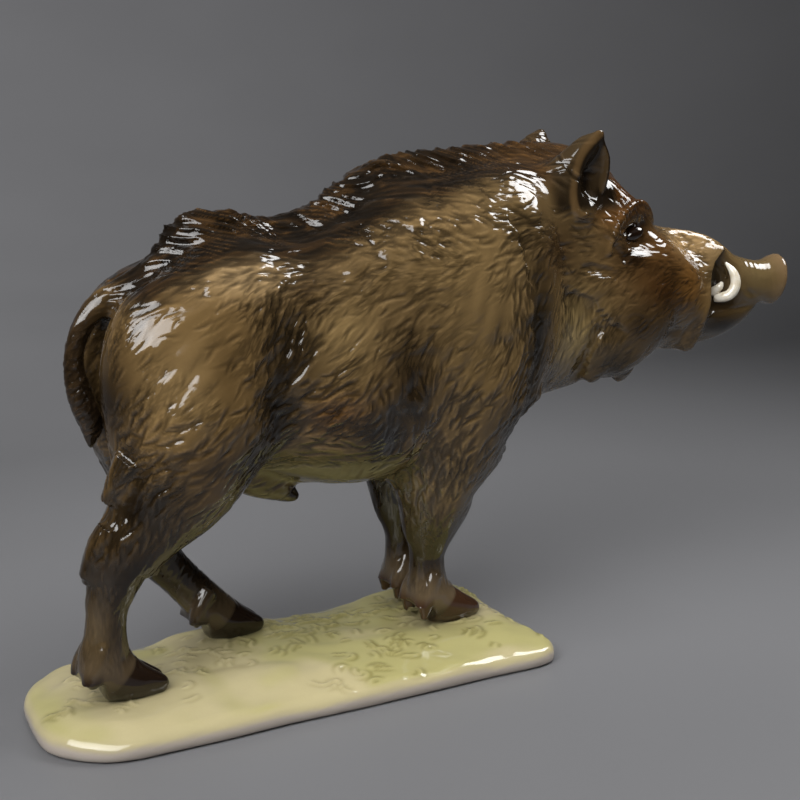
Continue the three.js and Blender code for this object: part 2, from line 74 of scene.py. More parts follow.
def copyNode(nodeName, pieceName):
    mesh = frame["nodes"][nodeName].data.copy()
    mesh.materials.clear()
    piece = bpy.data.objects.new(pieceName, mesh)
    bpy.context.scene.collection.objects.link(piece)
    makeActive(piece)
    bpy.ops.object.mode_set(mode="EDIT")
    bpy.ops.mesh.select_all(action="SELECT")
    bpy.ops.mesh.remove_doubles(threshold=0.01 * mm)
    bpy.ops.object.mode_set(mode="OBJECT")
    return piece


def applyModifier(piece, kind, **settings):
    makeActive(piece)
    modifier = piece.modifiers.new(kind.lower(), kind)
    for key, value in settings.items():
        setattr(modifier, key, value)
    bpy.ops.object.modifier_apply(modifier=modifier.name)


# meshes as arrays, in millimetres
def getPoints(piece):
    flat = np.empty(len(piece.data.vertices) * 3, np.float32)
    piece.data.vertices.foreach_get("co", flat)
    return flat.reshape(-1, 3).astype(float) / mm


def setPoints(piece, points):
    piece.data.vertices.foreach_set("co", (points * mm).astype(np.float32).ravel())
    piece.data.update()


def getNormals(piece):
    flat = np.empty(len(piece.data.vertices) * 3, np.float32)
    piece.data.vertex_normals.foreach_get("vector", flat)
    return flat.reshape(-1, 3).astype(float)


def getEdges(piece):
    flat = np.empty(len(piece.data.edges) * 2, np.int32)
    piece.data.edges.foreach_get("vertices", flat)
    return flat.reshape(-1, 2)


def neighbourMean(points, edges):
    a, b = edges.T
    count = np.bincount(edges.ravel(), minlength=len(points))
    total = []
    for column in points.T:
        total.append(np.bincount(a, column[b], len(points)) + np.bincount(b, column[a], len(points)))
    return np.stack(total, 1) / count[:, None]


def evenOut(points, edges, rounds):  # smooths without shrinking: a stroke in, a stroke back out
    for _ in range(rounds):
        for amount in (0.5, -0.53):
            points = points + amount * (neighbourMean(points, edges) - points)
    return points


def putAttribute(piece, name, kind, values):
    layer = piece.data.attributes.new(name, kind, "POINT")
    field = "color" if kind == "FLOAT_COLOR" else "vector"
    layer.data.foreach_set(field, values.astype(np.float32).ravel())


# shaping tools
def ease(value, low, high):
    f = np.clip((value - low) / (high - low), 0, 1)
    return f * f * (3 - 2 * f)


latticeSize = 32
noiseLattice = rng.random((latticeSize,) * 3)


def cloud(points, size, offset=0.0):  # soft noise, 0 to 1
    q = points / size + offset
    cell = np.floor(q).astype(int)
    f = q - cell
    f = f * f * (3 - 2 * f)
    total = np.zeros(len(points))
    for corner in np.ndindex(2, 2, 2):
        i = (cell + corner) % latticeSize
        weight = np.prod(np.where(corner, f, 1 - f), axis=1)
        total += weight * noiseLattice[i[:, 0], i[:, 1], i[:, 2]]
    return total


def bowed(line, steps=6):  # a smooth run through the line's points
    line = np.asarray(line, float)
    ends = np.vstack([2 * line[0] - line[1], line, 2 * line[-1] - line[-2]])
    f = np.linspace(0, 1, steps, endpoint=False)[:, None]
    runs = []
    for a, b, c, d in zip(ends[:-3], ends[1:-2], ends[2:-1], ends[3:]):
        bend = (2 * a - 5 * b + 4 * c - d) * f ** 2 + (3 * b - a - 3 * c + d) * f ** 3
        runs.append(0.5 * (2 * b + (c - a) * f + bend))
    runs.append(line[-1:])
    return np.vstack(runs)


def nearLine(points, line, reach):  # who is near, how far off, and how far along
    path = bowed(line)
    near = np.all((points > path.min(0) - reach) & (points < path.max(0) + reach), axis=1)
    idx = np.flatnonzero(near)
    gap = np.full(len(idx), 1e9)
    place = np.zeros(len(idx))
    for k in range(len(path) - 1):
        span = path[k + 1] - path[k]
        off = points[idx] - path[k]
        f = np.clip(off @ span / (span @ span), 0, 1)
        distance = np.linalg.norm(off - f[:, None] * span, axis=1)
        closer = distance < gap
        gap[closer] = distance[closer]
        place[closer] = (k + f[closer]) / (len(path) - 1)
    return idx, gap, place


def press(lift, points, line, amount, width, taper=0.25):  # a ridge, or a groove where amount is below 0
    idx, gap, place = nearLine(points, line, width * 2.5)
    ends = ease(place, 0, taper) * ease(1 - place, 0, taper)
    lift[idx] += amount * np.exp(-((gap / width) ** 2)) * ends


def step(lift, points, line, amount, reach, teeth=0.0, count=0, edge=1.3, fade=0.12):
    flat = points * (1, 0, 1)  # low on the right of the line, seen from the near side
    path = np.array([(x, 0, z) for x, z in line], float)
    idx, gap, place = nearLine(flat, path, reach)
    smooth = bowed(path)
    k = np.clip((place * (len(smooth) - 1)).astype(int), 0, len(smooth) - 2)
    span = smooth[k + 1] - smooth[k]
    off = flat[idx] - smooth[k]
    side = np.sign(span[:, 2] * off[:, 0] - span[:, 0] * off[:, 2])
    notch = np.abs(2 * ((place * count + 0.8 * np.sin(9 * place)) % 1) - 1)
    signed = gap * side + teeth * notch
    ends = ease(place, 0, 0.12) * ease(1 - place, 0, fade)
    lift[idx] -= amount * ease(signed, 0, edge) * ease(reach - signed, 0, reach - edge) * ends


def dab(points, centre, radii):  # a soft round mask
    return np.exp(-np.sum(((points - centre) / radii) ** 2, axis=1))


def tone(red, green, blue):  # screen colour to light
    c = np.array([red, green, blue]) / 255
    return np.where(c <= 0.04045, c / 12.92, ((c + 0.055) / 1.055) ** 2.4)


def tint(colour, mask, target):
    colour += mask[:, None] * (target - colour)


# the boar's own frames
boarPose = {
    "shiftY": 14.5,  # its middle plane, from the plinth's
    "headPivotX": 135.0,
    "headTurn": math.radians(-10),
}


def boarFrame(points):
    return points - (0, boarPose["shiftY"], 0)


def headFrame(local):  # forward, sideways, up
    c, s = math.cos(boarPose["headTurn"]), math.sin(boarPose["headTurn"])
    x = local[:, 0] - boarPose["headPivotX"]
    y = local[:, 1]
    return np.stack([c * x + s * y, c * y - s * x, local[:, 2]], 1)


def fromHead(place):  # one place in the head's frame, to the object's
    c, s = math.cos(boarPose["headTurn"]), math.sin(boarPose["headTurn"])
    forward, side, up = place
    x = boarPose["headPivotX"] + c * forward - s * side
    y = boarPose["shiftY"] + s * forward + c * side
    return np.array([x, y, up])


def foldOver(points):  # both sides alike
    return points * (1, 0, 1) + np.abs(points) * (0, 1, 0)


# the boar's mesh
boarMesh = {
    "voxel": 0.82,  # mm
    "evenRounds": 5,
    "finerBoxes": [  # head frame, where the carving is finest
        ((36, 12, 182), (64, 34, 208)),
        ((90, 4, 148), (122, 30, 190)),
        ((4, 16, 200), (38, 44, 250)),
    ],
}


def taperedRod(name, places, radii):  # a round, tapering roll of clay along places in mm
    curve = bpy.data.curves.new(name, "CURVE")
    curve.dimensions = "3D"
    curve.bevel_depth = mm
    curve.bevel_resolution = 4
    curve.resolution_u = 8
    curve.use_fill_caps = True
    spline = curve.splines.new("NURBS")
    spline.points.add(len(places) - 1)
    for point, place, radius in zip(spline.points, places, radii):
        point.co = (*(np.asarray(place) * mm), 1)
        point.radius = radius
    spline.use_endpoint_u = True
    spline.order_u = 3
    rod = bpy.data.objects.new(name, curve)
    bpy.context.scene.collection.objects.link(rod)
    makeActive(rod)
    bpy.ops.object.convert(target="MESH")
    bpy.ops.object.mode_set(mode="EDIT")
    bpy.ops.mesh.select_all(action="SELECT")
    bpy.ops.mesh.remove_doubles(threshold=0.01 * mm)
    bpy.ops.mesh.normals_make_consistent(inside=False)
    bpy.ops.object.mode_set(mode="OBJECT")
    return rod


# rolls of clay laid on before the carving: places and radius; head frame, both sides alike
headRolls = {
    "brow": [(31.5, 29.8, 187, 1.6), (33.6, 30.6, 195, 2.2), (38.6, 29.2, 204, 2.4), (46, 25.6, 209.6, 2.4),
             (55, 19.6, 210.4, 2.4), (63, 13, 206.4, 2.3), (67, 10, 200, 1.6)],
    "upperLid": [(43, 25, 193.6, 0.9), (47, 24.6, 197, 1.2), (52, 23.6, 198.6, 1.2), (57, 21.2, 197.4, 0.9)],
    "lowerLid": [(43.2, 25, 192.6, 0.5), (47, 25, 191.6, 0.6), (52, 24, 193, 0.6), (57, 21.8, 196, 0.5)],
    "lip": [(109, 10.4, 186, 1.6), (101, 15, 179.4, 2.0), (96.4, 17.4, 169, 2.2), (95, 17.8, 160, 2.2),
            (92.8, 17, 151, 2.4), (93, 14.4, 142, 2.8), (91, 11, 136, 3.0)],
    "cheekBone": [(12, 31.6, 185.2, 1.2), (24, 30.2, 184, 1.5), (35, 29.4, 180.6, 1.6), (42, 29, 177, 1.2)],
    "beardA": [(30, 22, 150, 4.5), (30, 22, 137, 5.2), (30.6, 17, 127.4, 3.2)],
    "beardB": [(37, 25, 150, 5.0), (37.5, 22, 136, 5.6), (38.4, 16, 126, 3.2)],
    "beardC": [(44, 24, 148, 4.6), (45.5, 21, 136, 5.2), (47.4, 15, 127, 3.0)],
    "beardFill": [(29, 10, 132.4, 8), (48, 10, 132, 8)],
    "earLobe": [(13.6, 31.6, 206.4, 3.0), (17, 31.8, 210, 3.6), (18.6, 31, 215.4, 2.0)],
    "earRear": [(24.4, 30.6, 243.6, 1.2), (17.6, 31.6, 238.6, 1.5), (13.6, 32.2, 231, 1.5),
                (11.4, 32.6, 221, 1.3), (10.6, 33, 213, 1.6), (12, 33.2, 207.4, 2.2),
                (15.6, 33, 205.8, 2.4), (18.8, 32.4, 208.6, 2.2), (19.2, 31.6, 214, 1.4)],
    "earFront": [(25, 30.4, 243.4, 1.1), (29.4, 30.4, 236.6, 1.2), (30.6, 29.4, 227, 1.2),
                 (29.4, 27.4, 216, 1.2)],
    "bridge": [(72, 5, 192, 5.5), (88, 5, 190.5, 5.6), (102, 5, 187.5, 5.2), (112, 5, 182.5, 4.4),
               (121, 4.5, 176.5, 3.4)],
}
# body frame, each on one side or in the middle
bodyRolls = {
    "chestTuft": [(118, 0, 134, 10), (127, 0, 121, 4)],
    "brisketTuft": [(102, 0, 114, 10), (106.5, 0, 99, 4)],
    "hockTuftRight": [(-86, -26, 90, 6), (-91.5, -24, 78, 6), (-94, -22, 68, 5)],
    "kneeTuftRight": [(-64, -28, 84, 6), (-67, -26, 74, 5), (-69, -24, 66, 3)],
    "hamTuftRight": [(-76, -28, 116, 8), (-82, -25, 106, 6), (-85, -23, 98, 4)],
    "hockTuftLeft": [(-54, 24, 88, 7), (-59, 23, 76, 5.5), (-60, 21, 68, 3)],
}
feet = {"foreRight": (83, -15), "foreLeft": (87, 15), "hindRight": (-80, -20), "hindLeft": (-17, 20)}
hoof = {
    "sole": 13.3,
    "clawOut": 7.2,
    "clawBack": 16.5,
    "innerClawBack": 2.5,  # how much further back than the outer one
    "clawRadii": [4.5, 4.2, 3.2, 1.6],
    "clawTip": {"fore": 3.4, "hind": 8.6},
    "heelCut": 12.0,
    "heelTop": 11.0,
}


def layRolls(body):
    rods = []
    shift = np.array([0, boarPose["shiftY"], 0])
    for name, stops in headRolls.items():
        for side in (-1, 1):
            places = [fromHead((s, side * t, z)) for s, t, z, _ in stops]
            rods.append(taperedRod(name, places, [stop[3] for stop in stops]))
    for name, stops in bodyRolls.items():
        places = [np.array(stop[:3]) + shift for stop in stops]
        rods.append(taperedRod(name, places, [stop[3] for stop in stops]))
    for name, (x, y) in feet.items():
        for side in (-1, 1):
            outer = y + side * hoof["clawOut"]
            back = x - hoof["clawBack"] - (hoof["innerClawBack"] if side * y < 0 else 0)
            claw = [
                (x - 11, y + side * 5, 38),
                (back + 2, outer, 30),
                (back, outer, 22),
                (back - 0.5, outer, hoof["sole"] + 1),
            ]
            places = [np.array(place) + shift for place in claw]
            rods.append(taperedRod(name + "Claw", places, hoof["clawRadii"]))
    makeActive(body)
    for rod in rods:
        rod.select_set(True)
    bpy.ops.object.join()
    print("rolls laid on:", len(rods))


def meshBoar():
    piece = copyNode("boar", "boarBody")
    applyModifier(piece, "SUBSURF", levels=2, render_levels=2)
    layRolls(piece)
    applyModifier(piece, "REMESH", mode="VOXEL", voxel_size=boarMesh["voxel"] * mm)
    points = evenOut(getPoints(piece), getEdges(piece), boarMesh["evenRounds"])
    setPoints(piece, points)
    print("boar mesh:", len(piece.data.polygons), "faces")
    return piece


def refineBoar(piece):
    folded = foldOver(headFrame(boarFrame(getPoints(piece))))
    inside = np.zeros(len(folded), bool)
    for low, high in boarMesh["finerBoxes"]:
        inside |= np.all((folded > low) & (folded < high), axis=1)
    corners = np.empty(len(piece.data.loops), np.int32)
    piece.data.loops.foreach_get("vertex_index", corners)
    starts = np.empty(len(piece.data.polygons), np.int32)
    piece.data.polygons.foreach_get("loop_start", starts)
    chosen = np.logical_and.reduceat(inside[corners], starts)
    selectFaces(piece, chosen)
    bpy.ops.mesh.subdivide(number_cuts=1, smoothness=0)
    bpy.ops.object.mode_set(mode="OBJECT")
    print("boar mesh, finer at eyes, mouth and ears:", len(piece.data.polygons), "faces")


def selectFaces(piece, chosen):
    makeActive(piece)
    bpy.context.tool_settings.mesh_select_mode = (False, False, True)
    bpy.ops.object.mode_set(mode="EDIT")
    bpy.ops.mesh.select_all(action="DESELECT")
    bpy.ops.object.mode_set(mode="OBJECT")
    piece.data.polygons.foreach_set("select", chosen)
    bpy.ops.object.mode_set(mode="EDIT")


# carving on the head and body: amount, width, then points; both sides alike
headCarving = {
    "eyeSlit": (-0.5, 1.0, [(44, 24, 192.8), (49, 23.4, 194.2), (56.5, 20.4, 195)]),
    "tearLine": (-1.0, 1.6, [(57, 21, 193), (63, 20.6, 188), (70, 19.8, 183)]),
    "underBone": (-0.8, 2.4, [(14, 32.6, 181.6), (24, 31.6, 180.6), (35, 31, 177), (42, 30.6, 172.6)]),
    "mouthLine": (-1.3, 1.1, [(100, 11, 154), (112, 10, 154), (124, 9, 154.2), (134, 8, 154.5),
                               (142, 5, 155)]),
    "snoutFoldA": (-0.7, 1.2, [(118, 10, 172), (126, 10, 164), (134, 9, 159)]),
    "snoutFoldB": (0.7, 1.4, [(117, 10, 168), (124, 10, 161), (132, 9, 157)]),
    "jowl": (-1.6, 3.0, [(56, 27, 158), (66, 24, 150), (76, 20, 145), (86, 17, 146)]),
    "flapFoldA": (-1.0, 1.4, [(80, 20, 160), (84, 19, 150), (86, 16, 141)]),
    "flapFoldB": (-0.8, 1.2, [(87, 19, 158), (89.5, 18, 149), (90, 15, 141)]),
    "templeFold": (-1.2, 2.0, [(26, 31, 197), (32, 31, 193), (40, 30, 186), (46, 28, 182)]),
    "neckCreaseA": (-1.0, 1.3, [(-16, 39, 199), (-4, 38.5, 195), (8, 36, 192), (18, 33, 192)]),
    "neckCreaseB": (-1.2, 1.3, [(-17, 40, 192), (-5, 39.5, 188), (7, 36.5, 186), (16, 33, 187)]),
    "neckCreaseC": (-1.2, 1.3, [(-16, 40, 185), (-4, 39.5, 181), (6, 36.5, 179), (14, 33.5, 178)]),
    "neckCreaseD": (-1.1, 1.3, [(-14, 40, 178), (-3, 39.5, 174.5), (6, 37, 173), (13, 34, 172)]),
    "neckCreaseE": (-0.9, 1.3, [(-12, 40, 171), (-3, 39.5, 168), (5, 37, 167), (10, 34.5, 167)]),
}
headSteps = {  # amount, reach, teeth, how many, edge, then points
    "lipEdge": (2.4, 22, 0, 0, 1.8, [(91, 133), (94.6, 143), (93.8, 152), (95.8, 160), (97, 169),
                                    (100.8, 179), (109, 186)]),
    "cheekFur": (2.2, 16, 2.4, 6, 1.2, [(4, 173), (12, 169.4), (21, 165.6), (26.6, 160), (33, 154),
                                       (44, 148.6)]),
    "beardRear": (2.4, 9, 0.8, 3, 1.2, [(31, 152), (27, 144), (25, 134), (25.4, 122)]),
}
headPushes = [  # centre, radii, move: forward, outward, up; both sides alike
    ((58, 26, 189), (12, 10, 5.5), (0, -1.0, 0)),
    ((54, 30, 177), (14, 10, 6), (0, -1.4, 0)),
    ((51, 26, 200.5), (12, 15, 6.8), (0, -4.6, 0)),
    ((41, 21, 218), (9, 10, 6), (0, 1.8, 1.2)),
    ((31, 33, 213), (8, 8, 7), (0, -2.0, 0)),
    ((21, 33, 223), (6.5, 7, 12), (-1.0, -4.6, 0)),
    ((26, 32, 236), (4, 5, 6), (-0.5, -1.8, 0)),
    ((67, 21, 192), (8, 10, 5), (0, 0.8, 0)),
    ((85, 16, 185), (11, 12, 9), (0, -4.4, 0)),
    ((85, 20, 157), (13, 12, 12), (0, 6.0, 0)),
]
bodyPushes = [  # centre, radii, move: forward, outward, up; both sides alike
    ((122, 22, 122), (12, 24, 4), (2.4, 1.4, -1)),
    ((118, 24, 105), (16, 26, 6.5), (-5, -2.8, 0)),
    ((108, 24, 92.5), (12, 22, 3.5), (1.6, 0.8, 0)),
    ((98, 24, 79), (14, 22, 7), (-3.6, -2, 0)),
    ((10, 0, 88), (5, 10, 5), (-2.5, 0, -1)),
]
mouth = {
    "lipUp": [143, 152, 160, 169, 179, 187],
    "lipForward": [94.6, 94, 95.8, 97, 100.8, 109],
    "floor": 10.4,  # how far out its wall is left
}
snout = {"ringDepth": 0.16, "ringSpacing": 3.3, "nostrilDepth": 3.6}
bodyCarving = {
    "flankHollow": (-2.6, 7.0, [(-10, 42, 184), (-11, 44, 166), (-17, 45, 148), (-16, 46, 130),
                                 (-10, 42, 112)]),
    "elbowFold": (-1.7, 6.0, [(44, 46, 132), (38, 46, 118), (40, 40, 104)]),
    "ribFold": (-0.7, 8.0, [(50, 49, 156), (48, 49, 142), (42, 48, 128)]),
}
bodySteps = {
    "coatEdge": (2.6, 15, 2.6, 9, 1.4, [(101, 108), (108, 128), (110, 156), (104, 190), (97, 214)]),
    "bellyHem": (2.2, 12, 1.6, 8, 1.3, [(-18, 108), (-4, 106), (10, 104), (28, 103), (44, 105)]),
}
legSteps = {  # side, then as above; they run out towards the front of the leg
    "hockRight": (-1, 1.8, 12, 1.2, 2, 1.2, [(-107, 69), (-99, 65.5), (-94, 66), (-88, 71)]),
    "hamRight": (-1, 1.7, 14, 1.6, 3, 1.2, [(-100, 105), (-92, 98), (-86, 97), (-76, 103)]),
    "kneeRight": (-1, 1.2, 11, 0.8, 2, 1.2, [(-58, 70), (-66, 65), (-71, 65), (-78, 70)][::-1]),
    "hockLeft": (1, 1.6, 12, 1.0, 2, 1.2, [(-74, 75), (-65, 68), (-59, 68), (-50, 74)]),
}


def pushForms(points):  # hollows and swellings that go deeper than a stroke, moved in one direction
    local = boarFrame(points)
    head = headFrame(local)
    folded = foldOver(head)
    c, s = math.cos(boarPose["headTurn"]), math.sin(boarPose["headTurn"])
    forwardAxis = np.array([c, s, 0])
    outward = np.sign(head[:, 1])[:, None] * np.array([-s, c, 0])
    for centre, radii, (forward, out, up) in headPushes:
        move = forward * forwardAxis + out * outward + np.array([0, 0, up])
        points = points + dab(folded, centre, radii)[:, None] * move
    body = foldOver(local)
    sideways = np.sign(local[:, 1])[:, None] * np.array([0, 1, 0])
    for centre, radii, (ahead, out, up) in bodyPushes:
        points = points + dab(body, centre, radii)[:, None] * (np.array([ahead, 0, up]) + out * sideways)
    forward, side, up = folded.T  # the mouth is sunk behind the lip, where the tusks stand
    lip = np.interp(up, mouth["lipUp"], mouth["lipForward"])
    sunk = ease(forward - lip, 0.5, 2.5) * ease(122 - forward, 0, 5)
    sunk *= ease(up, 150, 157) * ease(188 - up, 0, 5)
    over = np.clip(side - mouth["floor"], 0, None)
    points = points - outward * (0.95 * sunk * over)[:, None]
    for name, (x, y) in feet.items():  # the heel stands clear of the ground, the two claws reach lower
        off = local - (x, y, hoof["sole"])
        behind = ease(-off[:, 0], hoof["heelCut"] - 2, hoof["heelCut"] + 2)
        behind *= ease(34 + off[:, 0], 0, 2) * (np.abs(off[:, 1]) < 16)
        rise = np.clip(hoof["heelTop"] - off[:, 2], 0, None) * 0.92
        tip = hoof["clawTip"][name[:4]]
        clawX = off[:, 0] + hoof["clawBack"]
        clawY = np.abs(off[:, 1]) - hoof["clawOut"]
        onClaw = ease(4.2 - np.hypot(clawX, clawY), 0, 1.6)
        clawRise = np.clip(hoof["heelTop"] - off[:, 2], 0, None) * tip / hoof["heelTop"]
        points = points + (behind * (rise + onClaw * (clawRise - rise)))[:, None] * np.array([0, 0, 1])
    return points


def carveForms(points, local, head):
    lift = np.zeros(len(points))
    headFolded = foldOver(head)
    bodyFolded = foldOver(local)
    for amount, width, line in headCarving.values():
        press(lift, headFolded, line, amount, width)
    for amount, width, line in bodyCarving.values():
        press(lift, bodyFolded, line, amount, width)
    faceLift = np.zeros(len(points))
    for amount, reach, teeth, count, edge, line in headSteps.values():
        step(faceLift, head, line, amount, reach, teeth, count, edge)
    lift += faceLift * ease(headFolded[:, 1], 4, 9)
    coatLift = np.zeros(len(points))
    for amount, reach, teeth, count, edge, line in bodySteps.values():
        step(coatLift, local, line, amount, reach, teeth, count, edge)
    lift += coatLift * ease(bodyFolded[:, 1], 16, 26)
    for side, amount, reach, teeth, count, edge, line in legSteps.values():
        legLift = np.zeros(len(points))
        step(legLift, local, line, amount, reach, teeth, count, edge, 0.7)
        lift += legLift * ease(side * local[:, 1], 2, 8)
    forward, side, up = headFolded.T
    onSnout = ease(forward, 119, 126) * ease(147 - forward, 0, 4) * ease(up, 156, 162)
    rings = np.cos(2 * np.pi * (forward + 4 * cloud(head, 9)) / snout["ringSpacing"])
    lift += snout["ringDepth"] * onSnout * rings * cloud(head, 7, 2.5) * ease(up, 160, 172)
    lift -= snout["nostrilDepth"] * dab(headFolded, (152.5, 5.2, 169), (4, 2.5, 3.2))
    for x, y in feet.values():  # the cleft between the toes
        press(lift, local, [(x + 4, y, 28), (x + 13, y, 22), (x + 19, y, 15)], -1.8, 1.3)
    lift += crestRidges(local)[0]
    return lift


# the coat: combing directions at places on the side, in degrees, 180 towards the tail and 270 down
coat = {
    "strokes": 7000,
    "maneLine": [(-73, 176), (-62, 184), (-50, 195), (-39, 206), (-22, 207), (0, 204), (18, 208), (35, 218),
                 (50, 226), (66, 230), (93, 232), (121, 234), (145, 235), (166, 232)],
    "combing": {  # place on the side, then the angle
        "rumpTop": (-60, 185, 195),
        "maneRear": (-35, 205, 165),
        "maneMiddle": (20, 210, 160),
        "withers": (70, 225, 150),
        "nape": (125, 230, 160),
        "loin": (0, 190, 185),
        "shoulderTop": (60, 205, 150),
        "shoulder": (75, 175, 205),
        "shoulderLow": (75, 130, 220),
        "neckEdge": (105, 165, 275),
        "chest": (95, 120, 245),
        "ribs": (30, 160, 220),
        "ribsLow": (5, 135, 200),
        "flankHollow": (-15, 165, 250),
        "elbow": (40, 130, 295),
        "belly": (15, 105, 180),
        "thighTop": (-50, 165, 210),
        "thighRear": (-70, 145, 225),
        "thighLow": (-60, 120, 205),
        "stifle": (-35, 120, 230),
        "hock": (-80, 85, 250),
        "hindShin": (-90, 50, 265),
        "forearm": (60, 95, 260),
        "foreShin": (65, 50, 270),
        "neckSide": (145, 190, 180),
        "throat": (145, 150, 270),
        "forehead": (170, 215, 125),
        "cheek": (180, 160, 205),
        "muzzle": (220, 190, 165),
        "jaw": (220, 150, 235),
    },
}
crest = {"slant": 2.0, "spacing": 8.6, "wander": 16, "ridge": 0.6, "fineRidge": 0.25, "fineness": 2.3}


def maneGap(local):  # how far below the mane's edge
    line = np.array(coat["maneLine"], float)
    return np.interp(local[:, 0], line[:, 0], line[:, 1]) - local[:, 2]


def crestRidges(local):  # locks that slant down from the mane's edge
    line = np.array(coat["maneLine"], float)
    arc = np.concatenate([[0], np.cumsum(np.linalg.norm(np.diff(line, axis=0), axis=1))])
    gap = maneGap(local)
    along = np.interp(local[:, 0], line[:, 0], arc) - crest["slant"] * gap
    along += crest["wander"] * cloud(local * (1, 0.3, 1), 19)
    onCrest = ease(24 - gap, 0, 16) * ease(22 - np.abs(local[:, 1]), 0, 12) * ease(local[:, 0], -80, -70)
    onCrest *= ease(165 - local[:, 0], 0, 40) * (0.1 + 1.2 * cloud(local, 13, 5.5))
    phase = 2 * np.pi * along / crest["spacing"]
    ridges = crest["ridge"] * np.cos(phase) + crest["fineRidge"] * np.cos(crest["fineness"] * phase)
    return onCrest * ridges, phase


def combAngle(local):
    total = np.zeros((len(local), 2))
    for x, z, degrees in coat["combing"].values():
        weight = 1 / ((local[:, 0] - x) ** 2 + (local[:, 2] - z) ** 2 + 30) ** 1.6
        total += weight[:, None] * (math.cos(math.radians(degrees)), math.sin(math.radians(degrees)))
    return np.arctan2(total[:, 1], total[:, 0])


def maneMask(local):
    x, y, _ = local.T
    rough = maneGap(local) + 12 * (cloud(local * (0.35, 1, 1), 7) - 0.5)
    return ease(30 - rough, 0, 16) * ease(36 - np.abs(y), 0, 12) * ease(x, -80, -66) * ease(172 - x, 0, 14)


deepFur = [  # centre, radii, extra depth; body frame
    ((-14, 44, 152), (16, 24, 34), 0.3),
    ((-72, 36, 116), (24, 30, 16), 0.26),
    ((-84, 30, 90), (16, 24, 20), 0.2),
    ((58, 46, 112), (22, 24, 18), 0.36),
    ((10, 46, 122), (30, 24, 16), 0.3),
    ((104, 46, 150), (10, 24, 46), 0.3),
    ((62, 34, 88), (18, 24, 20), 0.2),
    ((115, 20, 118), (18, 30, 18), 0.3),
    ((40, 42, 206), (30, 24, 10), 0.24),
]
thinFur = [  # centre, radii, how much is left bare
    ((-54, 44, 158), (26, 26, 26), 0.75),
    ((76, 48, 168), (20, 24, 24), 0.7),
    ((124, 36, 214), (12, 20, 12), 0.9),
    ((16, 44, 164), (14, 24, 14), 0.4),
    ((33, 46, 114), (12, 20, 16), 0.5),
]


def coatZones(local, head):  # chance, length, width and depth of a stroke at each place
    x, y, z = local.T
    forward, side, up = head.T
    mane = maneMask(local)
    onHead = ease(forward, 8, 20)
    onLeg = ease(88 - z, 0, 20)
    bare = np.clip(ease(forward, 98, 106) + ease(34 - z, 0, 10), 0, 1)
    belly = ease(106 - z, 0, 6) * ease(z, 78, 84) * ease(x, -22, -12) * ease(56 - x, 0, 10)
    belly *= ease(40 - np.abs(y), 0, 6)
    onEar = ease(up, 203, 210) * ease(np.abs(side), 17, 22) * ease(forward, 0, 6) * ease(38 - forward, 0, 5)
    socket = dab(foldOver(head), (52, 24, 197), (14, 14, 9))
    chance = (1 + 0.5 * onHead) * (1 - 0.35 * onLeg) * (1 - bare) * (1 - 0.8 * belly)
    chance *= (1 - 0.95 * onEar) * (1 - 0.8 * socket)
    length = 12 - 3.5 * onHead - 2 * onLeg + 14 * mane
    width = 1.1 - 0.1 * onHead + 0.4 * mane
    depth = 0.32 - 0.08 * onHead - 0.14 * onLeg + 0.12 * mane
    folded = foldOver(local)
    for centre, radii, extra in deepFur:
        mask = dab(folded, centre, radii)
        depth += extra * mask
        chance += 0.8 * mask * (extra > 0) * (chance > 0.3)
    for centre, radii, less in thinFur:
        mask = less * dab(folded, centre, radii)
        chance *= 1 - mask
        depth *= 1 - 0.5 * mask
    return chance, length, width, depth


def carveCoat(points, local, normals, seeds):
    tree = kdtree.KDTree(len(points))
    for i, place in enumerate(points):
        tree.insert(place, i)
    tree.balance()
    seedLocal = boarFrame(seeds)
    chance, length, width, depth = coatZones(seedLocal, headFrame(seedLocal))
    picked = rng.choice(len(seeds), coat["strokes"], p=chance / chance.sum())
    groove = np.zeros(len(points))
    rim = np.zeros(len(points))
    strand = np.zeros(len(points))
    for i in picked:
        _, centre, _ = tree.find(seeds[i])
        normal = normals[centre]
        angle = combAngle(local[centre:centre + 1])[0] + rng.normal(0, 0.2)
        along = np.array([math.cos(angle), 0, math.sin(angle)])
        along -= normal * (along @ normal)
        size = np.linalg.norm(along)
        if size < 0.15:
            continue
        along /= size
        across = np.cross(normal, along)
        half = length[i] * rng.uniform(0.25, 0.65)
        reach = width[i] * rng.uniform(0.8, 1.25)
        bend = rng.normal(0, 0.14) / half
        wave = rng.normal(0, 0.5)
        found = tree.find_range(points[centre], half + reach * 2)
        idx = np.fromiter((hit[1] for hit in found), int, len(found))
        off = points[idx] - points[centre]
        u = off @ along / half
        v = off @ across + bend * (u * half) ** 2 + wave * np.sin(2.5 * u)
        v = np.abs(v) / (reach * (1 - 0.4 * np.clip(u, -1, 1)))
        ends = np.clip(1 - u ** 2, 0, 1)
        deep = depth[i] * rng.uniform(0.55, 1.25)
        groove[idx] = np.maximum(groove[idx], ends * np.clip(1 - v ** 2, 0, 1) ** 1.5 * deep)
        rim[idx] = np.maximum(rim[idx], ends * np.clip(1 - ((v - 1.35) / 0.6) ** 2, 0, 1) * deep * 0.35)
        strand[idx] += ends * np.clip(1 - (v * 0.7) ** 2, 0, 1) * (rng.normal(0, 1) - strand[idx]) * 0.8
    return groove, rim * (groove < 0.02), strand


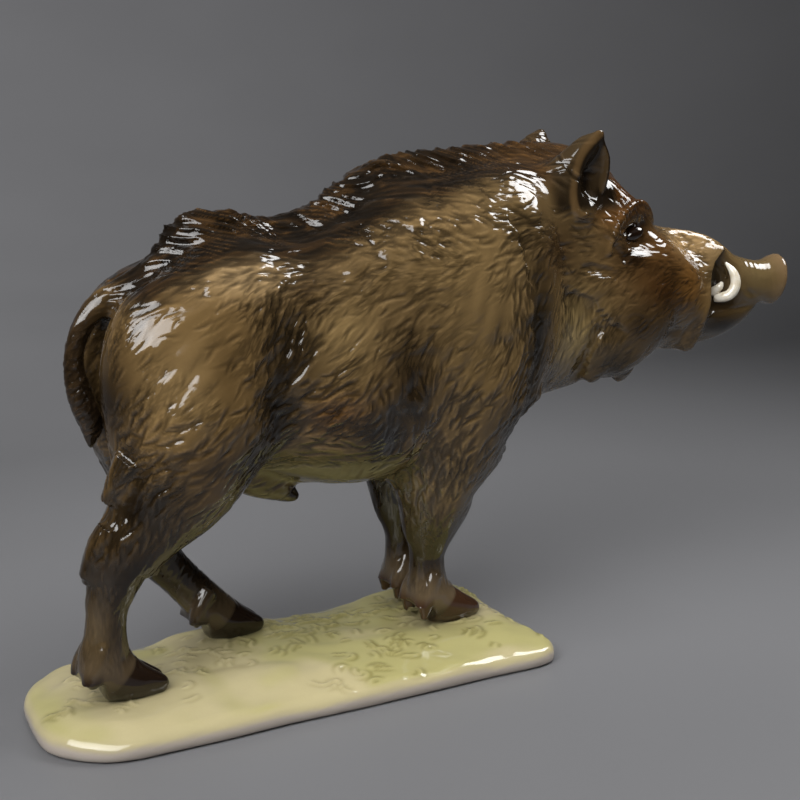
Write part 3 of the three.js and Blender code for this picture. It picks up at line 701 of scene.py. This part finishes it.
# paint on the boar
paintBoar = {
    "flank": tone(106, 86, 55),
    "flankDark": tone(70, 53, 32),
    "rump": tone(104, 82, 50),
    "leg": tone(34, 25, 15),
    "belly": tone(126, 117, 84),
    "mane": tone(20, 14, 9),
    "nape": tone(78, 54, 28),
    "maneStrand": tone(104, 74, 40),
    "hoofHind": tone(32, 22, 15),
    "hoofFore": tone(62, 41, 27),
    "pastern": tone(118, 101, 78),
    "tail": tone(34, 24, 16),
    "earOuter": tone(60, 48, 31),
    "earInner": tone(24, 17, 10),
    "earRim": tone(92, 71, 44),
    "headTop": tone(68, 42, 18),
    "ink": tone(18, 13, 8),
}
bodySpots = [  # centre, radii, colour, strength; colour zones, airbrushed dark with painted shade in the folds, and lighter zones that are partly painted light
    # lighter khaki on the top of the back, the flank, the shoulder and the rump, partly painted light on the
    # sides that face the lamps
    ((-28, 36, 188), (22, 24, 8), tone(158, 132, 94), 0.8),
    ((12, 45, 162), (16, 22, 16), tone(124, 102, 66), 0.8),
    ((74, 47, 188), (24, 22, 22), tone(116, 94, 60), 0.8),
    ((66, 40, 208), (16, 20, 8), tone(112, 90, 58), 0.7),
    ((-60, 46, 146), (18, 24, 24), tone(120, 98, 64), 0.8),
    ((-42, 46, 150), (9, 20, 20), tone(78, 60, 34), 0.7),
    ((-54, 47, 116), (12, 20, 12), tone(66, 50, 30), 0.6),
    ((72, 50, 127), (12, 20, 10), tone(84, 68, 43), 0.6),
    ((8, 45, 128), (14, 20, 9), tone(96, 65, 32), 0.8),
    ((-2, 38, 181), (10, 20, 10), tone(66, 50, 29), 0.7),
    # near-black airbrushed dark with painted shade: the flank fold, the thigh's front, behind the elbow, the
    # rib fold, between the tail and the rump, low on the thigh, and in front of the neck's coat edge
    ((-17, 43, 132), (10, 20, 30), tone(20, 15, 9), 0.95),
    ((-8, 43, 157), (9, 20, 14), tone(38, 28, 15), 0.9),
    ((-30, 44, 110), (16, 24, 18), tone(20, 14, 8), 0.93),
    ((33, 46, 114), (14, 22, 18), tone(14, 11, 8), 0.95),
    ((42, 49, 140), (13, 20, 24), tone(28, 20, 12), 0.8),
    ((-84, 25, 140), (9, 30, 28), tone(24, 17, 10), 0.93),
    ((-74, 36, 98), (20, 26, 17), tone(20, 14, 8), 0.93),
    ((114, 46, 150), (9, 22, 40), tone(11, 8, 5), 0.97),
    ((128, 38, 190), (14, 20, 14), tone(56, 38, 19), 0.8),
    ((70, 37, 85), (12, 22, 20), tone(108, 88, 54), 0.85),
    # near-black under the chest: painted shade with airbrushed dark
    ((102, 34, 106), (16, 44, 20), tone(12, 10, 7), 0.97),
    ((54, 42, 111), (8, 17, 10), tone(108, 86, 52), 0.85),
    ((-94, 26, 46), (7, 10, 14), tone(96, 79, 52), 0.7),
    ((7, 0, 83), (7, 8, 5), tone(22, 16, 11), 0.95),
]
headSpots = [
    ((60, 26, 186), (26, 18, 18), tone(94, 58, 20), 0.6),
    ((44, 18, 216), (14, 18, 10), tone(84, 50, 18), 0.8),
    ((36, 30, 206), (10, 12, 8), tone(96, 62, 26), 0.7),
    ((88, 8, 190), (18, 14, 9), tone(190, 156, 108), 0.85),
    ((62, 27, 168), (24, 16, 16), tone(48, 28, 9), 0.95),
    ((82, 22, 172), (10, 12, 14), tone(98, 66, 28), 0.8),
    # painted shade in the fold under the eye
    ((46, 28, 185), (11, 10, 5), tone(26, 16, 8), 0.85),
    # dark brown with painted shade: the eye socket under the brow, then the hollow in front of the eye
    ((53, 22, 199), (13, 13, 8), tone(34, 20, 9), 0.95),
    ((66, 20, 190), (8, 10, 8), tone(78, 50, 22), 0.7),
    ((50, 30, 152), (16, 16, 8), tone(42, 30, 16), 0.8),
    ((88, 18, 148), (9, 12, 14), tone(96, 74, 41), 0.8),
    ((66, 24, 145), (12, 14, 8), tone(38, 30, 20), 0.8),
    ((13, 34, 146), (10, 16, 17), tone(158, 136, 90), 0.92),
    ((40, 22, 134), (14, 20, 13), tone(32, 26, 17), 0.95),
    ((132, 8, 170), (14, 18, 14), tone(104, 87, 57), 1.0),
    ((150, 0, 168), (5, 16, 15), tone(132, 107, 79), 0.9),
    # near-black under the mouth: dark paint with painted shade
    ((112, 10, 145), (20, 18, 8), tone(16, 12, 8), 0.97),
    ((110, 10, 155), (10, 12, 4), tone(62, 46, 24), 0.7),
    # dark gum with painted shadow in the recess behind the lip, around the tusks
    ((106, 10, 167), (9, 9, 15), tone(22, 16, 11), 0.95),
    ((103, 10, 172), (2.6, 6, 6), tone(100, 92, 76), 0.7),
]
earRimLine = [(24.4, 32, 244), (17.6, 33, 239), (12.6, 34, 231), (10.2, 35, 221), (10, 35, 213),
              (13, 35, 206.4), (17, 34.6, 206)]
tailLine = [(-66, 0, 180), (-77, 0, 177), (-87, 0, 165), (-90, 0, 150), (-87, -1, 136), (-84, -2, 126),
            (-86, -3, 117)]


def paintCoat(local, head, normals, groove, rim, strand):
    x, y, z = local.T
    forward, side, up = head.T
    body = foldOver(local)
    face = foldOver(head)
    colour = np.tile(paintBoar["flank"], (len(local), 1))
    tint(colour, 0.55 * cloud(local, 40) ** 1.5, paintBoar["flankDark"])
    tint(colour, ease(-x, 5, 40), paintBoar["rump"])
    tint(colour, 0.95 * ease(104 - z, 0, 34), paintBoar["leg"])
    for centre, radii, shade, strength in bodySpots:
        tint(colour, strength * dab(body, centre, radii), shade)
    under = ease(-normals[:, 2], 0.3, 0.7) * ease(108 - z, 0, 8) * ease(z, 78, 86)
    under *= ease(x, -24, -14) * ease(50 - x, 0, 10) * ease(40 - np.abs(y), 0, 8)
    tint(colour, under, paintBoar["belly"])
    tint(colour, 0.8 * ease(forward, 14, 34) * ease(up, 196, 214), paintBoar["headTop"])
    for centre, radii, shade, strength in headSpots:
        tint(colour, strength * dab(face, centre, radii), shade)
    mane = maneMask(local)
    tint(colour, 0.95 * mane, paintBoar["mane"])
    tint(colour, 0.9 * mane * ease(x, 92, 140), paintBoar["nape"])
    strands = ease(np.cos(crest["fineness"] * crestRidges(local)[1]), 0.35, 0.9)
    strands *= ease(cloud(local, 12, 8.5), 0.3, 0.7)
    tint(colour, mane * strands * 0.55, paintBoar["maneStrand"])
    tint(colour, mane * np.clip(strand, 0, 1.2) * 0.4, paintBoar["maneStrand"])
    onEar = ease(up, 205, 212) * ease(np.abs(side), 17, 22)
    onEar *= ease(forward, -4, 4) * ease(40 - forward, 0, 4)
    facing = normals[:, 0] * 0.7 + np.sign(side) * normals[:, 1] * 0.7
    tint(colour, onEar * 0.85, paintBoar["earOuter"])
    tint(colour, onEar * ease(facing, 0.1, 0.7) * 0.9, paintBoar["earInner"])
    idx, gap, _ = nearLine(face, earRimLine, 4)
    onRim = np.zeros(len(local))
    onRim[idx] = ease(3.2 - gap, 0, 2)
    tint(colour, 0.85 * onRim, paintBoar["earRim"])
    idx, gap, place = nearLine(local, tailLine, 16)
    onTail = np.zeros(len(local))
    onTail[idx] = ease(13 - gap, 0, 4) * ease(place, 0.05, 0.3)
    tint(colour, 0.85 * onTail, paintBoar["tail"])
    band = ease(z, 18, 26) * ease(46 - z, 0, 16)
    tint(colour, band * np.where(x > 30, 0.6, 0.3), paintBoar["pastern"])
    horn = np.zeros(len(local))
    for name, (footX, footY) in feet.items():
        near = ease(16 - np.abs(y - footY), 0, 2) * ease(34 - np.abs(x - footX), 0, 4)
        toe = ease(x - footX + 12.5 - 1.09 * (z - 17), 0, 3) * ease(34 - z, 0, 6)
        claw = ease(footX - 12.5 - x, 0, 2) * ease(30 - z, 0, 6)
        mask = near * np.clip(toe + claw, 0, 1)
        tint(colour, mask, paintBoar["hoofFore" if name.startswith("fore") else "hoofHind"])
        horn = np.maximum(horn, near * ease(27 - z, 0, 6))
    colour *= (1 + 0.05 * np.clip(strand, -2, 2) * (1 - horn))[:, None]
    ink = ease(groove, 0.05, 0.36) * (1 - horn)
    tint(colour, 0.62 * ink, paintBoar["ink"])
    # painted highlight: the raised rims beside the strokes are lightened
    bright = colour * 1.5 + 0.004
    tint(colour, 0.8 * ease(rim, 0.02, 0.12) * (1 - horn), bright)
    return np.clip(colour, 0, 1)


# node groups and materials
def newGroup(name, inputs, outputs):
    group = bpy.data.node_groups.new(name, "ShaderNodeTree")
    for label, kind, start in inputs:
        socket = group.interface.new_socket(label, in_out="INPUT", socket_type=kind)
        if start is not None:
            socket.default_value = start
    for label, kind in outputs:
        group.interface.new_socket(label, in_out="OUTPUT", socket_type=kind)
    return group, group.nodes.new("NodeGroupInput"), group.nodes.new("NodeGroupOutput")


def mathNode(tree, operation, first, second=None):
    node = tree.nodes.new("ShaderNodeMath")
    node.operation = operation
    for slot, value in enumerate((first, second)):
        if isinstance(value, (int, float)):
            node.inputs[slot].default_value = value
        elif value is not None:
            tree.links.new(value, node.inputs[slot])
    return node.outputs[0]


def noiseNode(tree, vector, scale, detail=2.0):
    node = tree.nodes.new("ShaderNodeTexNoise")
    node.inputs["Scale"].default_value = scale
    node.inputs["Detail"].default_value = detail
    tree.links.new(vector, node.inputs["Vector"])
    return node.outputs["Fac"]


def rangeNode(tree, value, low, high, newLow, newHigh):
    node = tree.nodes.new("ShaderNodeMapRange")
    tree.links.new(value, node.inputs["Value"])
    for label, number in (("From Min", low), ("From Max", high), ("To Min", newLow), ("To Max", newHigh)):
        node.inputs[label].default_value = number
    return node.outputs["Result"]


def mixNode(tree, blend, factor, first, second):
    node = tree.nodes.new("ShaderNodeMix")
    node.data_type = "RGBA"
    node.blend_type = blend
    for label, value in (("Factor", factor), (6, first), (7, second)):
        socket = node.inputs[label]
        if isinstance(value, bpy.types.NodeSocket):
            tree.links.new(value, socket)
        else:
            socket.default_value = value
    return node.outputs[2]


def glazeGroup():  # brush marks in the colour under the glaze, and its slight waviness
    group, start, end = newGroup(
        "underglazeBrush",
        [
            ("Paint", "NodeSocketColor", None),
            ("Vector", "NodeSocketVector", None),
            ("Mottle", "NodeSocketFloat", 0.2),
        ],
        [("Colour", "NodeSocketColor"), ("Roughness", "NodeSocketFloat"), ("Wave", "NodeSocketFloat")],
    )
    vector = start.outputs["Vector"]
    broad = noiseNode(group, vector, 70, 3)
    fine = noiseNode(group, vector, 900, 2)
    broadPart = mathNode(group, "MULTIPLY", broad, 0.6)
    finePart = mathNode(group, "MULTIPLY", fine, 0.4)
    both = mathNode(group, "ADD", broadPart, finePart)
    level = mathNode(group, "MULTIPLY", mathNode(group, "SUBTRACT", both, 0.5), start.outputs["Mottle"])
    scale = mathNode(group, "ADD", level, 1.0)
    bright = group.nodes.new("ShaderNodeVectorMath")
    bright.operation = "SCALE"
    group.links.new(start.outputs["Paint"], bright.inputs[0])
    group.links.new(scale, bright.inputs["Scale"])
    group.links.new(bright.outputs[0], end.inputs["Colour"])
    group.links.new(rangeNode(group, broad, 0.3, 0.7, 0.06, 0.12), end.inputs["Roughness"])
    group.links.new(noiseNode(group, vector, 160, 1), end.inputs["Wave"])
    return group


def hairGroup():  # fine carved hairs along the combing
    group, start, end = newGroup(
        "carvedHairs",
        [("Vector", "NodeSocketVector", None), ("Comb", "NodeSocketVector", None)],
        [("Lines", "NodeSocketFloat"), ("Streaks", "NodeSocketFloat")],
    )
    split = group.nodes.new("ShaderNodeSeparateXYZ")
    group.links.new(start.outputs["Comb"], split.inputs[0])
    total = None
    weights = None
    for turn in range(6):
        angle = math.radians(30 * turn)
        mapping = group.nodes.new("ShaderNodeMapping")
        mapping.vector_type = "TEXTURE"
        mapping.inputs["Rotation"].default_value = (0, -angle, 0)
        mapping.inputs["Scale"].default_value = (15 * mm, 2.2 * mm, 2.2 * mm)
        group.links.new(start.outputs["Vector"], mapping.inputs["Vector"])
        streak = noiseNode(group, mapping.outputs[0], 1.0, 1.5)
        facingX = mathNode(group, "MULTIPLY", split.outputs[0], math.cos(2 * angle))
        facingZ = mathNode(group, "MULTIPLY", split.outputs[1], math.sin(2 * angle))
        facing = mathNode(group, "MAXIMUM", mathNode(group, "ADD", facingX, facingZ), 0.0)
        weight = mathNode(group, "POWER", facing, 4.0)
        part = mathNode(group, "MULTIPLY", weight, streak)
        total = part if total is None else mathNode(group, "ADD", total, part)
        weights = weight if weights is None else mathNode(group, "ADD", weights, weight)
    streaks = mathNode(group, "DIVIDE", total, mathNode(group, "ADD", weights, 0.001))
    middle = mathNode(group, "ABSOLUTE", mathNode(group, "SUBTRACT", streaks, 0.5))
    patchy = rangeNode(group, noiseNode(group, start.outputs["Vector"], 55, 1), 0.42, 0.62, 0.0, 1.0)
    line = rangeNode(group, middle, 0.02, 0.11, 1.0, 0.0)
    group.links.new(mathNode(group, "MULTIPLY", line, patchy), end.inputs["Lines"])
    group.links.new(streaks, end.inputs["Streaks"])
    return group


def newMaterial(name):
    material = bpy.data.materials.new(name)
    material.use_nodes = True
    return material, material.node_tree, material.node_tree.nodes["Principled BSDF"]


def addGroup(tree, group):
    node = tree.nodes.new("ShaderNodeGroup")
    node.node_tree = group
    return node


def addBump(tree, shader, height, strength, distance):
    bump = tree.nodes.new("ShaderNodeBump")
    bump.inputs["Strength"].default_value = strength
    bump.inputs["Distance"].default_value = distance
    tree.links.new(height, bump.inputs["Height"])
    tree.links.new(bump.outputs["Normal"], shader.inputs["Normal"])


glaze = {
    "coat": 0.12,
    "coatRoughness": 0.02,
    "ior": 1.5,
    "mottle": 0.22,
    "streakLow": 0.92,
    "streakHigh": 1.07,
    "lineInk": 0.5,
    "bumpStrength": 0.5,
    "bumpDepth": 0.14,  # mm
}
brushGroup = glazeGroup()
hairs = hairGroup()


def glazeMaterial(name, haired, mottle):
    material, tree, shader = newMaterial(name)
    paint = tree.nodes.new("ShaderNodeAttribute")
    paint.attribute_name = "paint"
    place = tree.nodes.new("ShaderNodeTexCoord").outputs["Object"]
    brush = addGroup(tree, brushGroup)
    brush.inputs["Mottle"].default_value = mottle
    tree.links.new(paint.outputs["Color"], brush.inputs["Paint"])
    tree.links.new(place, brush.inputs["Vector"])
    colour = brush.outputs["Colour"]
    height = brush.outputs["Wave"]
    if haired:
        comb = tree.nodes.new("ShaderNodeAttribute")
        comb.attribute_name = "comb"
        hair = addGroup(tree, hairs)
        tree.links.new(place, hair.inputs["Vector"])
        tree.links.new(comb.outputs["Vector"], hair.inputs["Comb"])
        split = tree.nodes.new("ShaderNodeSeparateXYZ")
        tree.links.new(comb.outputs["Vector"], split.inputs[0])
        streak = rangeNode(tree, hair.outputs["Streaks"], 0.3, 0.7, glaze["streakLow"], glaze["streakHigh"])
        inked = mathNode(tree, "MULTIPLY", hair.outputs["Lines"], -glaze["lineInk"])
        change = mathNode(tree, "ADD", mathNode(tree, "SUBTRACT", streak, 1.0), inked)
        offset = mathNode(tree, "MULTIPLY", change, split.outputs[2])
        bright = tree.nodes.new("ShaderNodeVectorMath")
        bright.operation = "SCALE"
        tree.links.new(colour, bright.inputs[0])
        tree.links.new(mathNode(tree, "ADD", offset, 1.0), bright.inputs["Scale"])
        colour = bright.outputs[0]
        cut = mathNode(tree, "MULTIPLY", hair.outputs["Lines"], split.outputs[2])
        height = mathNode(tree, "SUBTRACT", height, mathNode(tree, "MULTIPLY", cut, 1.2))
    tree.links.new(colour, shader.inputs["Base Color"])
    tree.links.new(brush.outputs["Roughness"], shader.inputs["Roughness"])
    shader.inputs["IOR"].default_value = glaze["ior"]
    shader.inputs["Coat Weight"].default_value = glaze["coat"]
    shader.inputs["Coat Roughness"].default_value = glaze["coatRoughness"]
    addBump(tree, shader, height, glaze["bumpStrength"], glaze["bumpDepth"] * mm)
    return material


def eyeMaterial():
    material, tree, shader = newMaterial("darkEyeGlaze")
    place = tree.nodes.new("ShaderNodeTexCoord").outputs["Object"]
    mottle = noiseNode(tree, place, 1200, 2)
    colour = mixNode(tree, "MIX", mottle, (*tone(12, 8, 5), 1), (*tone(34, 20, 10), 1))
    tree.links.new(colour, shader.inputs["Base Color"])
    shader.inputs["Roughness"].default_value = 0.04
    shader.inputs["Coat Weight"].default_value = 1.0
    shader.inputs["Coat Roughness"].default_value = 0.01
    return material


def tuskMaterial():
    material, tree, shader = newMaterial("tuskGlaze")
    place = tree.nodes.new("ShaderNodeTexCoord").outputs["Object"]
    mottle = rangeNode(tree, noiseNode(tree, place, 260, 3), 0.35, 0.7, 0, 1)
    colour = mixNode(tree, "MIX", mottle, (*tone(240, 234, 220), 1), (*tone(214, 200, 172), 1))
    tree.links.new(colour, shader.inputs["Base Color"])
    shader.inputs["Roughness"].default_value = 0.08
    shader.inputs["Coat Weight"].default_value = 0.8
    shader.inputs["Coat Roughness"].default_value = 0.02
    return material


# cutting the boar's skin into lighter pieces that keep one smooth shading
skinCuts = {"boarMuzzle": 205, "boarHead": 128, "boarShoulders": 48, "boarFlanks": -22}  # forward of this
skinRest = "boarHindquarters"


def cutSkin(body):
    putAttribute(body, "wholeNormal", "FLOAT_VECTOR", getNormals(body))
    pieces = []
    for name, fromX in skinCuts.items():
        centres = np.empty(len(body.data.polygons) * 3, np.float32)
        body.data.polygons.foreach_get("center", centres)
        selectFaces(body, centres[0::3] > fromX * mm)
        before = set(bpy.data.objects)
        bpy.ops.mesh.separate(type="SELECTED")
        bpy.ops.object.mode_set(mode="OBJECT")
        piece = (set(bpy.data.objects) - before).pop()
        piece.name = name
        pieces.append(piece)
    body.name = skinRest
    pieces.append(body)
    for piece in pieces:
        makeActive(piece)
        bpy.ops.object.shade_smooth()
        layer = piece.data.attributes["wholeNormal"]
        flat = np.empty(len(piece.data.vertices) * 3, np.float32)
        layer.data.foreach_get("vector", flat)
        piece.data.attributes.remove(layer)
        piece.data.normals_split_custom_set_from_vertices(flat.reshape(-1, 3))
        piece.data.calc_loop_triangles()
        print(piece.name, len(piece.data.loop_triangles), "triangles")
    return pieces


def makeBoar():
    body = meshBoar()
    seeds = getPoints(body)
    refineBoar(body)
    points = getPoints(body)
    low, high = (np.array(corner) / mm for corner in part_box("boar"))
    points = pushForms(points)
    setPoints(body, points)
    normals = getNormals(body)
    local = boarFrame(points)
    points = points + normals * carveForms(points, local, headFrame(local))[:, None]
    setPoints(body, points)
    normals = getNormals(body)
    local = boarFrame(points)
    print("forms carved")
    groove, rim, strand = carveCoat(points, local, normals, seeds)
    print("coat carved:", coat["strokes"], "strokes")
    head = headFrame(local)
    colour = paintCoat(local, head, normals, groove, rim, strand)
    points = np.clip(points + normals * (rim - groove)[:, None], low, high)
    points[:, 2] -= 0.8 * ease(low[2] + 2 - points[:, 2], 0, 2)
    setPoints(body, points)
    angle = combAngle(local)
    chance = coatZones(local, head)[0]
    comb = np.stack([np.cos(2 * angle), np.sin(2 * angle), np.clip(chance, 0, 1)], 1)
    putAttribute(body, "comb", "FLOAT_VECTOR", comb)
    putAttribute(body, "paint", "FLOAT_COLOR", np.hstack([colour, np.ones((len(colour), 1))]))
    material = glazeMaterial("boarGlaze", True, glaze["mottle"])
    for piece in cutSkin(body):
        piece.data.materials.append(material)
        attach(piece, "root")
        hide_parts("boar")
    return foldOver(headFrame(boarFrame(points)))


skin = makeBoar()
print("boar done")


# eyes and tusks
eyes = {"forward": 49.6, "up": 195.6, "inset": -0.4, "radii": (5.8, 3.6, 3.4), "slope": math.radians(-22)}
tusks = {
    "big": [(105.6, 10.6, 160.6, 2.4), (109, 14.4, 160.8, 2.8), (112.6, 16.4, 163.4, 2.9),
            (114.4, 16.8, 168.2, 2.8), (113.6, 15.6, 173.4, 2.4), (111.4, 13.8, 176.8, 1.5),
            (109.8, 12.8, 178.8, 0.5)],
    "small": [(104.4, 9.4, 163, 2.4), (106.4, 12.4, 165.4, 2.3), (107.6, 13.4, 167.6, 1.7),
              (108, 13.4, 169, 0.6)],
}


def skinSide(forward, up):  # how far out the skin lies there
    near = np.hypot(skin[:, 0] - forward, skin[:, 2] - up) < 1.0
    return np.median(skin[near, 1])


def makeEye(name, side):
    out = skinSide(eyes["forward"], eyes["up"]) - eyes["inset"]
    print("eye sits", round(out, 1), "mm out")
    centre = fromHead((eyes["forward"], side * out, eyes["up"])) * mm
    bpy.ops.object.select_all(action="DESELECT")
    bpy.ops.mesh.primitive_uv_sphere_add(segments=32, ring_count=20, radius=1, location=centre)
    eye = bpy.context.object
    eye.name = name
    eye.scale = np.array(eyes["radii"]) * mm
    eye.rotation_euler = (0, eyes["slope"], boarPose["headTurn"])
    bpy.ops.object.transform_apply(location=True, rotation=True, scale=True)
    bpy.ops.object.shade_smooth()
    return eye


def makeTusk(name, stops, side):
    places = [fromHead((s, side * t, z)) for s, t, z, _ in stops]
    tusk = taperedRod(name, places, [stop[3] for stop in stops])
    applyModifier(tusk, "SUBSURF", levels=1, render_levels=1)
    makeActive(tusk)
    bpy.ops.object.shade_smooth()
    return tusk


def makeFace():
    eyeGlaze = eyeMaterial()
    tuskGlaze = tuskMaterial()
    for label, side in (("Right", -1), ("Left", 1)):
        for piece, material, slot in (
            (makeEye("eye" + label, side), eyeGlaze, "brown_glaze"),
            (makeTusk("tusk" + label, tusks["big"], side), tuskGlaze, "ground_glaze"),
            (makeTusk("tooth" + label, tusks["small"], side), tuskGlaze, "ground_glaze"),
        ):
            piece.data.materials.clear()
            piece.data.materials.append(material)
            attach(piece, "root")
            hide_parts("boar")


makeFace()
print("eyes and tusks done")


# the plinth
plinth = {
    "voxel": 1.0,
    "evenRounds": 8,
    "tufts": 15,
    "ridgesPerTuft": 18,
    "tuftSpread": 11.0,
    "ridge": 0.7,
    "ridgeWidth": 0.85,
    "dish": 0.5,
    "reliefLimit": 0.9,
    "cream": tone(178, 167, 128),
    "wall": tone(166, 156, 146),
    "green": tone(160, 155, 96),
    # olive for the painted shadow beside the ridges
    "paintedRidgeShadow": tone(120, 112, 62),
    # a greyer tone for the painted shadow round the feet
    "paintedFootShadow": tone(128, 119, 88),
}


def ridgeRun(start):  # a short wandering ridge of grass
    heading = rng.uniform(0, 2 * np.pi)
    turn = rng.normal(0, 0.3)
    run = [np.array([*start, 0.0])]
    for _ in range(rng.integers(4, 10)):
        heading += turn + rng.normal(0, 0.15)
        run.append(run[-1] + 1.5 * np.array([math.cos(heading), math.sin(heading), 0]))
    return run


def makePlinth():
    piece = copyNode("plinth", "groundPlinth")
    applyModifier(piece, "SUBSURF", levels=2, render_levels=2)
    applyModifier(piece, "REMESH", mode="VOXEL", voxel_size=plinth["voxel"] * mm)
    points = evenOut(getPoints(piece), getEdges(piece), plinth["evenRounds"])
    setPoints(piece, points)
    low, high = (np.array(corner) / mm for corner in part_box("plinth"))
    normals = getNormals(piece)
    onTop = ease(normals[:, 2], 0.6, 0.95) * ease(points[:, 2], 6, 9)
    flat = points * (1, 1, 0)
    lift = plinth["dish"] * (cloud(flat, 13) + 0.5 * cloud(flat, 6, 3.5) - 0.8)
    shade = np.zeros(len(points))
    for _ in range(plinth["tufts"]):
        middle = rng.uniform(low[:2] + 12, high[:2] - 12)
        for _ in range(plinth["ridgesPerTuft"]):
            run = ridgeRun(middle + rng.normal(0, plinth["tuftSpread"], 2) * (1.5, 0.8))
            idx, gap, place = nearLine(flat, run, 4)
            ends = ease(place, 0, 0.3) * ease(1 - place, 0, 0.3)
            lift[idx] += plinth["ridge"] * ends * np.exp(-((gap / plinth["ridgeWidth"]) ** 2))
            # painted shadow: an olive line along each side of a ridge
            shade[idx] = np.maximum(shade[idx], ends * np.exp(-(((gap - 1.9) / 1.0) ** 2)))
    lift = np.clip(lift, -plinth["reliefLimit"], plinth["reliefLimit"]) * onTop
    points = points + normals * lift[:, None]
    points = np.clip(points, low, high)
    setPoints(piece, points)
    colour = np.tile(plinth["cream"], (len(points), 1))
    wash = ease(cloud(flat, 30) + 0.5 * cloud(flat, 11) - 0.25, 0.2, 0.8) * onTop
    tint(colour, 0.7 * wash, plinth["green"])
    # the olive ridge lines are painted shadow
    tint(colour, 0.6 * shade * onTop * (0.4 + 0.6 * wash), plinth["paintedRidgeShadow"])
    # painted shadow on the plinth top around each foot
    for x, y in feet.values():
        footShadow = dab(flat, (x - 4, y + boarPose["shiftY"] - 2, 0), (20, 12, 1))
        tint(colour, 0.5 * footShadow * onTop, plinth["paintedFootShadow"])
    tint(colour, ease(0.6 - normals[:, 2], 0, 0.5) * ease(points[:, 2], -1, 0), plinth["wall"])
    putAttribute(piece, "paint", "FLOAT_COLOR", np.hstack([colour, np.ones((len(colour), 1))]))
    makeActive(piece)
    bpy.ops.object.shade_smooth()
    piece.data.materials.append(glazeMaterial("groundGlaze", False, 0.12))
    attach(piece, "root")
    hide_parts("plinth")
    print("plinth done:", len(piece.data.polygons), "faces")


makePlinth()


# floor, light and camera
studio = {
    "floorTone": tone(108, 108, 110),
    "floorRadius": 1.3,
    "sweepRadius": 1.6,
    "wallHeight": 0.8,
    "cameraPlace": (-243.2, -503.3, 250.0),
    "cameraTurn": -30.83,
    "cameraPitch": 12.15,
    "lens": 58.5,
    "lightAim": (60, 10, 140),
    "worldTone": 0.08,
}
softboxes = [  # name, azimuth from the front, height angle, distance, size, watts, spread, mirrored
    ("leftSoftbox", -60, 36, 950, (900, 560), 4.2, 100, True),
    ("rightSoftbox", 78, 44, 950, (480, 420), 2.4, 100, True),
    ("frontFill", -20, 58, 1200, (1000, 800), 3.4, 180, False),
    ("rearFill", 160, 40, 1200, (900, 600), 1.8, 100, False),
]
backdropLight = {"place": (-100, 650, 1400), "aim": (-300, 2900, 1100), "size": 700, "watts": 46}


def makeFloor():
    bpy.ops.object.select_all(action="DESELECT")
    radius = studio["floorRadius"]
    bpy.ops.mesh.primitive_circle_add(vertices=96, radius=radius, fill_type="TRIFAN", location=(0, 0, 0))
    floor = bpy.context.object
    floor.name = "studioFloor"
    bpy.ops.object.mode_set(mode="EDIT")
    bpy.context.tool_settings.mesh_select_mode = (False, True, False)
    sweep = studio["sweepRadius"]
    steps = 24
    for k in range(steps):  # the floor sweeps up into a wall all round
        a, b = math.radians(90 * k / steps), math.radians(90 * (k + 1) / steps)
        bpy.ops.mesh.select_all(action="DESELECT")
        bpy.ops.mesh.select_non_manifold()
        rise = sweep * (math.cos(a) - math.cos(b))
        bpy.ops.mesh.extrude_edges_move(TRANSFORM_OT_translate={"value": (0, 0, rise)})
        grow = (radius + sweep * math.sin(b)) / (radius + sweep * math.sin(a))
        bpy.ops.transform.resize(value=(grow, grow, 1))
    bpy.ops.mesh.extrude_edges_move(TRANSFORM_OT_translate={"value": (0, 0, studio["wallHeight"])})
    bpy.ops.object.mode_set(mode="OBJECT")
    bpy.ops.object.shade_smooth()
    material, tree, shader = newMaterial("paleFloor")
    place = tree.nodes.new("ShaderNodeTexCoord").outputs["Object"]
    level = rangeNode(tree, noiseNode(tree, place, 3, 2), 0.3, 0.7, 0, 1)
    base = studio["floorTone"]
    colour = mixNode(tree, "MIX", level, (*(base * 0.97), 1), (*(base * 1.03), 1))
    tree.links.new(colour, shader.inputs["Base Color"])
    shader.inputs["Roughness"].default_value = 0.45
    floor.data.materials.append(material)


def addLight(name, place, toward, size, watts, spread, mirrored):
    bpy.ops.object.light_add(type="AREA", location=place * mm)
    light = bpy.context.object
    light.name = name
    light.rotation_euler = Vector(place - toward).to_track_quat("Z", "Y").to_euler()
    light.data.shape = "RECTANGLE"
    light.data.size = size[0] * mm
    light.data.size_y = size[1] * mm
    light.data.energy = watts
    light.data.spread = math.radians(spread)
    light.visible_glossy = mirrored
    light.visible_camera = False


def makeLights():
    aim = np.array(studio["lightAim"], float)
    for name, azimuth, height, distance, size, watts, spread, mirrored in softboxes:
        a, h = math.radians(azimuth), math.radians(height)
        toLight = np.array([math.sin(a) * math.cos(h), -math.cos(a) * math.cos(h), math.sin(h)])
        addLight(name, aim + toLight * distance, aim, size, watts, spread, mirrored)
    back = backdropLight
    place, aim = np.array(back["place"], float), np.array(back["aim"], float)
    addLight("backdropLight", place, aim, (back["size"], back["size"]), back["watts"], 180, False)
    world = bpy.data.worlds.new("studioAir")
    world.use_nodes = True
    world.node_tree.nodes["Background"].inputs["Color"].default_value = (*[studio["worldTone"]] * 3, 1)
    bpy.context.scene.world = world


def makeCamera():
    turn = (math.radians(90 - studio["cameraPitch"]), 0, math.radians(studio["cameraTurn"]))
    bpy.ops.object.camera_add(location=np.array(studio["cameraPlace"]) * mm, rotation=turn)
    camera = bpy.context.object
    camera.name = "photoCamera"
    camera.data.sensor_width = 36
    camera.data.lens = studio["lens"]
    bpy.context.scene.camera = camera
    bpy.context.scene.view_settings.view_transform = "Standard"


makeFloor()
makeLights()
makeCamera()
print("studio done")
